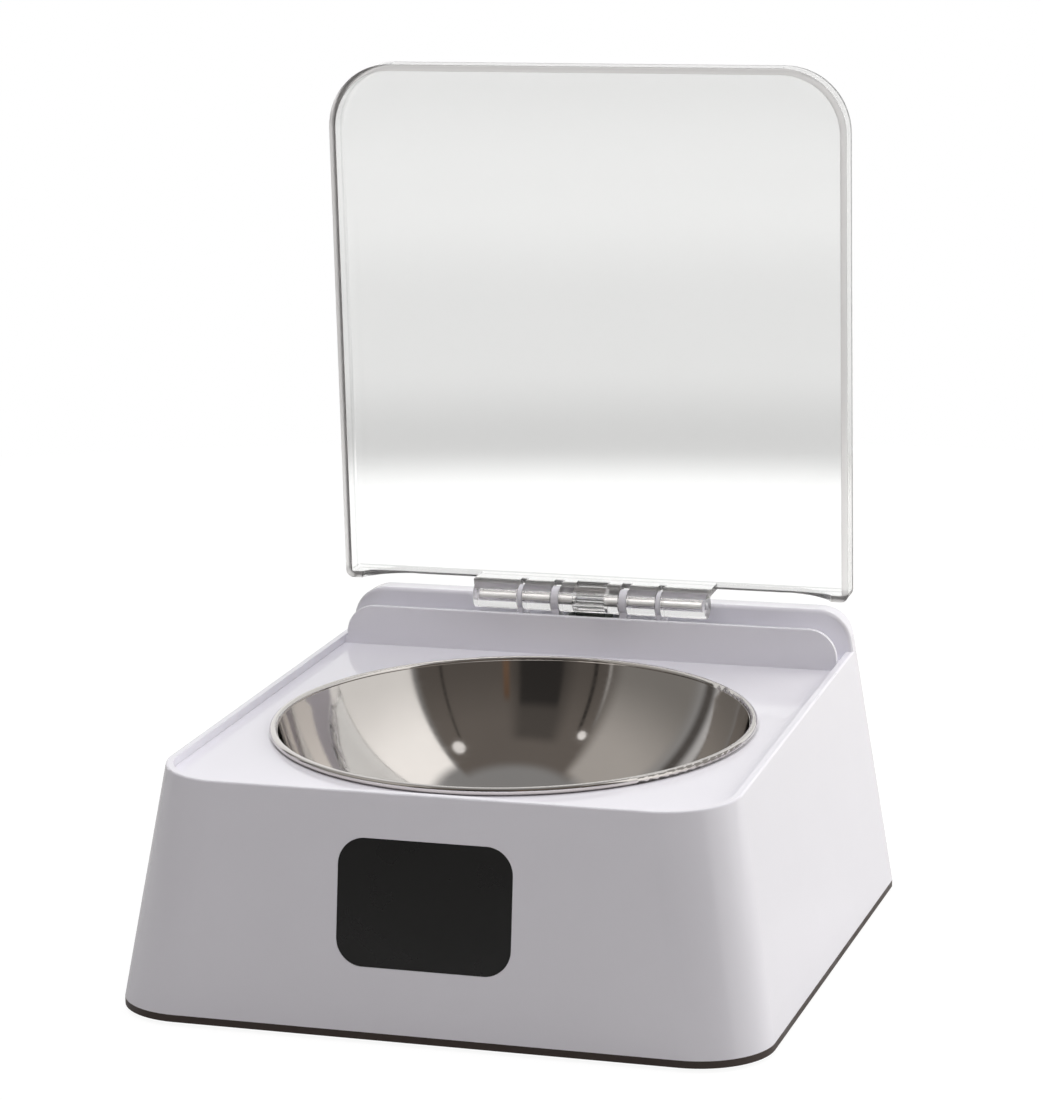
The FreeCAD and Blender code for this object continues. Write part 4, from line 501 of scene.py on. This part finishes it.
class PETBOWL_OT_power_switch(bpy.types.Operator):
    """Finish the power switch"""
    bl_idname = "petbowl.power_switch"
    bl_label = "Power switch"

    def execute(self, context):
        material = moulded_plastic("switch_black", (0.018, 0.018, 0.019), 0.38, grain=0.0005, depth=0.00001)
        dress(material, "power_switch_body", "power_switch_knob")
        return {"FINISHED"}


# Fasteners and axles

class PETBOWL_OT_fasteners(bpy.types.Operator):
    """Finish the screws and gear axles"""
    bl_idname = "petbowl.fasteners"
    bl_label = "Screws and axles"

    def execute(self, context):
        zinc = metal("zinc_plated_screw", (0.66, 0.65, 0.6), 0.3)
        dress(zinc, "base_screws", "gearbox_screws", "board_screws")
        dress(metal("axle_steel", (0.6, 0.6, 0.6), 0.2, streak=(0.1, 1.0, 1.0)), "gear_axles")
        return {"FINISHED"}


# Wires

class PETBOWL_OT_wires(bpy.types.Operator):
    """Finish the sleeved wires"""
    bl_idname = "petbowl.wires"
    bl_label = "Wires"

    def execute(self, context):
        sleeve = moulded_plastic("wire_sleeve", (0.025, 0.025, 0.027), 0.5, grain=0.0005, depth=0.00002)
        dress(sleeve, "sensor_wires", "battery_wires", "motor_wires", "switch_wires")
        return {"FINISHED"}


# Stage

FLOOR_RADIUS = 1.21
FLOOR_ALBEDO = 0.64
FLOOR_SHOW = 0.12
FILL_LAMPS = (
    # name, azimuth, height, distance, size, radiance, colour, shape, and whether it shows through the clear lid
    ("right_lamp", 134.0, 25.0, 1.7, 1.1, 4.5, (1.0, 0.985, 0.95), "RECTANGLE", False),
    ("top_lamp", 0.0, 72.0, 0.75, 0.5, 3.3, (1.0, 0.98, 1.0), "ELLIPSE", True),
)
LAMP_HEADS = (
    # name, azimuth, height and size
    ("right_head", 58.5, 53.5, 0.17),
    ("left_head", -31.0, 46.5, 0.12),
)
HEAD_LEVEL = 0.8
LAMP_REACH = 1.7


def aim(obj, place, target):
    """Put an object somewhere and point its -Z at a target."""
    obj.location = place
    obj.rotation_euler = (Vector(target) - Vector(place)).to_track_quat("-Z", "Y").to_euler()


def towards(azimuth, elevation, reach):
    """Place at an angle to the right of the front and above the floor, in degrees."""
    turn, lift = math.radians(azimuth), math.radians(elevation)
    return (reach * math.sin(turn) * math.cos(lift), -reach * math.cos(turn) * math.cos(lift), reach * math.sin(lift))


def lamp(name, place, width, height, radiance, shape="RECTANGLE"):
    """Area lamp that the camera and the clear lid don't show."""
    data = bpy.data.lights.new(name, "AREA")
    data.shape = shape
    data.size = width
    data.size_y = height
    area = width * height * (math.pi / 4 if shape == "ELLIPSE" else 1.0)
    data.energy = radiance * math.pi * area
    made = bpy.data.objects.new(name, data)
    bpy.context.scene.collection.objects.link(made)
    aim(made, place, (0.0, 0.0, 0.1))
    made.visible_camera = False
    made.visible_transmission = False
    return made


def math_node(tree, operation, first, second=0.0):
    """Result of one sum."""
    return add(tree, "ShaderNodeMath", {0: first, 1: second}, operation=operation).outputs["Value"]


def ramp(tree, value, start, end, low, high):
    """Smooth change of one value with another."""
    return add(tree, "ShaderNodeMapRange", {
        "Value": value, "From Min": start, "From Max": end, "To Min": low, "To Max": high},
        interpolation_type="SMOOTHSTEP").outputs["Result"]


def between(tree, value, low, high, soft):
    """One inside a range and nothing outside, with soft ends."""
    up = ramp(tree, value, low - soft, low + soft, 0.0, 1.0)
    down = ramp(tree, value, high - soft, high + soft, 1.0, 0.0)
    return math_node(tree, "MULTIPLY", up, down)


def mixed(tree, factor, first, second):
    """One colour laid over another."""
    node = add(tree, "ShaderNodeMix", data_type="RGBA")
    for socket, value in zip((node.inputs["Factor"], *[i for i in node.inputs if i.type == "RGBA"]), (factor, first, second)):
        if isinstance(value, bpy.types.NodeSocket):
            tree.links.new(value, socket)
        else:
            socket.default_value = value
    return next(out for out in node.outputs if out.type == "RGBA")


def floor_material():
    """Pale floor: white to the camera, with the object's shadow kept faintly."""
    material = bpy.data.materials.new("pale_floor")
    material.use_nodes = True
    tree = material.node_tree
    tree.nodes.clear()
    rays = add(tree, "ShaderNodeLightPath")
    matt = add(tree, "ShaderNodeBsdfDiffuse", {"Color": rgba((FLOOR_ALBEDO,) * 3)})
    faint = add(tree, "ShaderNodeBsdfDiffuse", {"Color": rgba((FLOOR_SHOW,) * 3)})
    white = add(tree, "ShaderNodeEmission", {"Color": rgba((1.0, 1.0, 1.0)), "Strength": 0.93})
    seen = add(tree, "ShaderNodeAddShader")
    tree.links.new(white.outputs[0], seen.inputs[0])
    tree.links.new(faint.outputs[0], seen.inputs[1])
    place = add(tree, "ShaderNodeNewGeometry")
    reach = add(tree, "ShaderNodeVectorMath", {0: place.outputs["Position"]}, operation="LENGTH")
    fade = ramp(tree, reach.outputs["Value"], 0.99, 1.2, 1.2, 0.67)
    through = add(tree, "ShaderNodeEmission", {"Color": rgba((0.99, 1.0, 0.995)), "Strength": fade})
    first = add(tree, "ShaderNodeMixShader", {"Fac": rays.outputs["Is Camera Ray"]})
    tree.links.new(matt.outputs[0], first.inputs[1])
    tree.links.new(seen.outputs[0], first.inputs[2])
    second = add(tree, "ShaderNodeMixShader", {"Fac": rays.outputs["Is Transmission Ray"]})
    tree.links.new(first.outputs[0], second.inputs[1])
    tree.links.new(through.outputs[0], second.inputs[2])
    output = add(tree, "ShaderNodeOutputMaterial")
    tree.links.new(second.outputs[0], output.inputs["Surface"])
    return material


def floor_disc():
    """Round floor."""
    points = [(FLOOR_RADIUS * math.cos(a), FLOOR_RADIUS * math.sin(a), 0.0)
              for a in (2 * math.pi * i / 96 for i in range(96))]
    mesh = bpy.data.meshes.new("floor")
    mesh.from_pydata(points, [], [tuple(range(96))])
    disc = bpy.data.objects.new("floor", mesh)
    bpy.context.scene.collection.objects.link(disc)
    mesh.materials.append(floor_material())


# Parts of the room, later ones over earlier ones: azimuth from the front to the right and height in degrees,
# softness of the sides, radiance low down and high up, colour
ROOM_PARTS = (
    ("right_window", (69.0, 121.0), (-8.0, 58.0), 1.6, (0.8, 1.14), (1.0, 0.985, 0.965)),
    ("right_wall", (121.0, 150.0), (-20.0, 90.0), 1.6, (0.33, 0.33), (1.0, 0.97, 0.94)),
    ("dark_front", (-46.0, 67.0), (-12.0, 64.0), 3.0, (0.1, 0.15), (1.0, 0.89, 0.8)),
    ("front_shade", (-13.0, 16.0), (-12.0, 50.0), 6.0, (0.055, 0.085), (1.0, 0.9, 0.82)),
    ("doorway", (-9.0, 13.0), (0.0, 33.0), 1.5, (0.03, 0.035), (1.0, 0.93, 0.88)),
    ("door_frame", (18.5, 21.5), (0.0, 30.0), 0.8, (0.16, 0.1), (1.0, 0.62, 0.4)),
    ("right_stand", (52.5, 54.0), (0.0, 47.0), 0.5, (0.045, 0.06), (1.0, 0.9, 0.82)),
    ("left_stand", (-27.0, -25.0), (0.0, 41.0), 0.5, (0.03, 0.03), (1.0, 0.9, 0.82)),
    ("left_strip", (-34.5, -33.0), (0.0, 38.0), 0.5, (0.4, 0.14), (1.0, 0.97, 0.94)),
    ("left_screen", (-88.0, -37.0), (-12.0, 62.0), 6.0, (0.22, 0.46), (1.0, 0.955, 0.9)),
    ("left_gap", (-101.0, -93.0), (-12.0, 34.0), 3.0, (0.09, 0.1), (1.0, 0.93, 0.88)),
    ("left_door", (-118.0, -108.0), (-12.0, 30.0), 2.0, (0.16, 0.2), (1.0, 0.95, 0.9)),
)
ROOM_TOP = 0.27
ROOM_BACK = 0.95


def room(ambient):
    """Room with a bright window, a dark front and a white back, seen white by the camera."""
    world = bpy.data.worlds.new("room")
    bpy.context.scene.world = world
    world.use_nodes = True
    tree = world.node_tree
    tree.nodes.clear()
    rays = add(tree, "ShaderNodeLightPath")
    place = add(tree, "ShaderNodeTexCoord")
    parts = add(tree, "ShaderNodeSeparateXYZ", {"Vector": place.outputs["Generated"]})
    to_front = math_node(tree, "MULTIPLY", parts.outputs["Y"], -1.0)
    turn = math_node(tree, "MULTIPLY", math_node(tree, "ARCTAN2", parts.outputs["X"], to_front), 180.0 / math.pi)
    lift = math_node(tree, "MULTIPLY", math_node(tree, "ARCSINE", parts.outputs["Z"]), 180.0 / math.pi)
    # back half of the room
    back = ramp(tree, parts.outputs["Y"], -0.1, 0.75, ROOM_TOP, ROOM_BACK)
    light = add(tree, "ShaderNodeCombineColor", {"Red": back, "Green": back, "Blue": back}).outputs["Color"]
    for name, (left, right), (bottom, top), soft, (low, high), colour in ROOM_PARTS:
        share = math_node(tree, "MULTIPLY", between(tree, turn, left, right, soft), between(tree, lift, bottom, top, 3.0))
        level = ramp(tree, lift, 10.0, 45.0, low, high)
        part = add(tree, "ShaderNodeVectorMath", {0: colour, 3: level}, operation="SCALE").outputs["Vector"]
        light = mixed(tree, share, light, part)
    # below the horizon the floor goes on
    light = mixed(tree, ramp(tree, lift, -14.0, -8.0, 1.0, 0.0), light, (0.55, 0.55, 0.55, 1.0))
    room_light = add(tree, "ShaderNodeBackground", {"Color": light, "Strength": ambient})
    seen = add(tree, "ShaderNodeBackground", {"Color": rgba((1.0, 1.0, 1.0)), "Strength": 1.0})

    # what the clear lid shows: a grey sweep that is darkest at its foot
    foot = ramp(tree, lift, -8.9, -7.8, 0.66, 0.80)
    middle = ramp(tree, lift, -6.8, -5.2, 0.0, 0.10)
    upper = ramp(tree, lift, -4.8, -3.2, 0.0, -0.05)
    sweep = math_node(tree, "ADD", math_node(tree, "ADD", foot, middle), upper)
    behind = add(tree, "ShaderNodeBackground", {"Color": rgba((0.99, 1.0, 0.995)), "Strength": sweep})
    first = add(tree, "ShaderNodeMixShader", {"Fac": rays.outputs["Is Camera Ray"]})
    tree.links.new(room_light.outputs[0], first.inputs[1])
    tree.links.new(seen.outputs[0], first.inputs[2])
    second = add(tree, "ShaderNodeMixShader", {"Fac": rays.outputs["Is Transmission Ray"]})
    tree.links.new(first.outputs[0], second.inputs[1])
    tree.links.new(behind.outputs[0], second.inputs[2])
    output = add(tree, "ShaderNodeOutputWorld")
    tree.links.new(second.outputs[0], output.inputs["Surface"])


def photo_camera(look):
    """Camera at the photograph's angle."""
    away = Vector((
        math.sin(look.azimuth) * math.cos(look.elevation),
        -math.cos(look.azimuth) * math.cos(look.elevation),
        math.sin(look.elevation),
    ))
    place = Vector(CAMERA_TARGET) + away * look.distance
    right = (-away).cross(Vector((0.0, 0.0, 1.0))).normalized()
    up = right.cross(-away)
    turned_right = right * math.cos(look.roll) + up * math.sin(look.roll)
    turned_up = up * math.cos(look.roll) - right * math.sin(look.roll)
    data = bpy.data.cameras.new("photo_camera")
    data.sensor_fit = "VERTICAL"
    data.sensor_height = SENSOR_MM
    data.sensor_width = SENSOR_MM
    data.lens = FOCAL_PIXELS * SENSOR_MM / PHOTO_HEIGHT
    data.clip_start = 0.01
    data.clip_end = 50.0
    camera = bpy.data.objects.new("photo_camera", data)
    turn = Matrix((turned_right, turned_up, away)).transposed().to_4x4()
    camera.matrix_world = Matrix.Translation(place) @ turn
    bpy.context.scene.collection.objects.link(camera)
    bpy.context.scene.camera = camera


class PETBOWL_OT_studio(bpy.types.Operator):
    """Set up the camera, lamps, floor and backdrop"""
    bl_idname = "petbowl.studio"
    bl_label = "Studio"

    def execute(self, context):
        look = context.scene.pet_bowl_studio
        context.scene.view_settings.view_transform = "Standard"
        context.scene.cycles.max_bounces = 64
        context.scene.cycles.transmission_bounces = 64
        photo_camera(look)
        for name, azimuth, elevation, reach, size, radiance, colour, shape, through in FILL_LAMPS:
            made = lamp(name, towards(azimuth, elevation, reach), size, size, radiance * look.lamp_level, shape)
            made.data.color = colour
            made.visible_glossy = False
            made.visible_transmission = through
        for name, azimuth, elevation, size in LAMP_HEADS:
            lamp(name, towards(azimuth, elevation, LAMP_REACH), size, size, HEAD_LEVEL, "ELLIPSE")
        floor_disc()
        room(look.ambient)
        return {"FINISHED"}


OPERATORS = (
    PETBOWL_OT_housing,
    PETBOWL_OT_base,
    PETBOWL_OT_feet,
    PETBOWL_OT_lid,
    PETBOWL_OT_hinge_pins,
    PETBOWL_OT_bowl,
    PETBOWL_OT_sensor,
    PETBOWL_OT_control_board,
    PETBOWL_OT_batteries,
    PETBOWL_OT_gear_train,
    PETBOWL_OT_power_switch,
    PETBOWL_OT_fasteners,
    PETBOWL_OT_wires,
    PETBOWL_OT_studio,
)


class PETBOWL_PT_panel(bpy.types.Panel):
    """Buttons for each piece and the studio"""
    bl_idname = "PETBOWL_PT_panel"
    bl_label = "Pet Bowl"
    bl_space_type = "VIEW_3D"
    bl_region_type = "UI"
    bl_category = "Pet Bowl"

    def draw(self, context):
        for name, group in SETTINGS.items():
            column = self.layout.column(align=True)
            for key in group.__annotations__:
                column.prop(getattr(context.scene, name), key)
        for operator in OPERATORS:
            self.layout.operator(operator.bl_idname)


def register():
    """Add the settings, operators and panel."""
    for name, group in SETTINGS.items():
        bpy.utils.register_class(group)
        setattr(bpy.types.Scene, name, bpy.props.PointerProperty(type=group))
    for operator in OPERATORS:
        bpy.utils.register_class(operator)
    bpy.utils.register_class(PETBOWL_PT_panel)


def unregister():
    """Take them out again."""
    bpy.utils.unregister_class(PETBOWL_PT_panel)
    for operator in reversed(OPERATORS):
        bpy.utils.unregister_class(operator)
    for name, group in reversed(SETTINGS.items()):
        delattr(bpy.types.Scene, name)
        bpy.utils.unregister_class(group)


def main():
    """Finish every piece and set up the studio."""
    register()
    for operator in OPERATORS:
        group, call = operator.bl_idname.split(".")
        getattr(getattr(bpy.ops, group), call)()


if __name__ == "__main__":
    main()
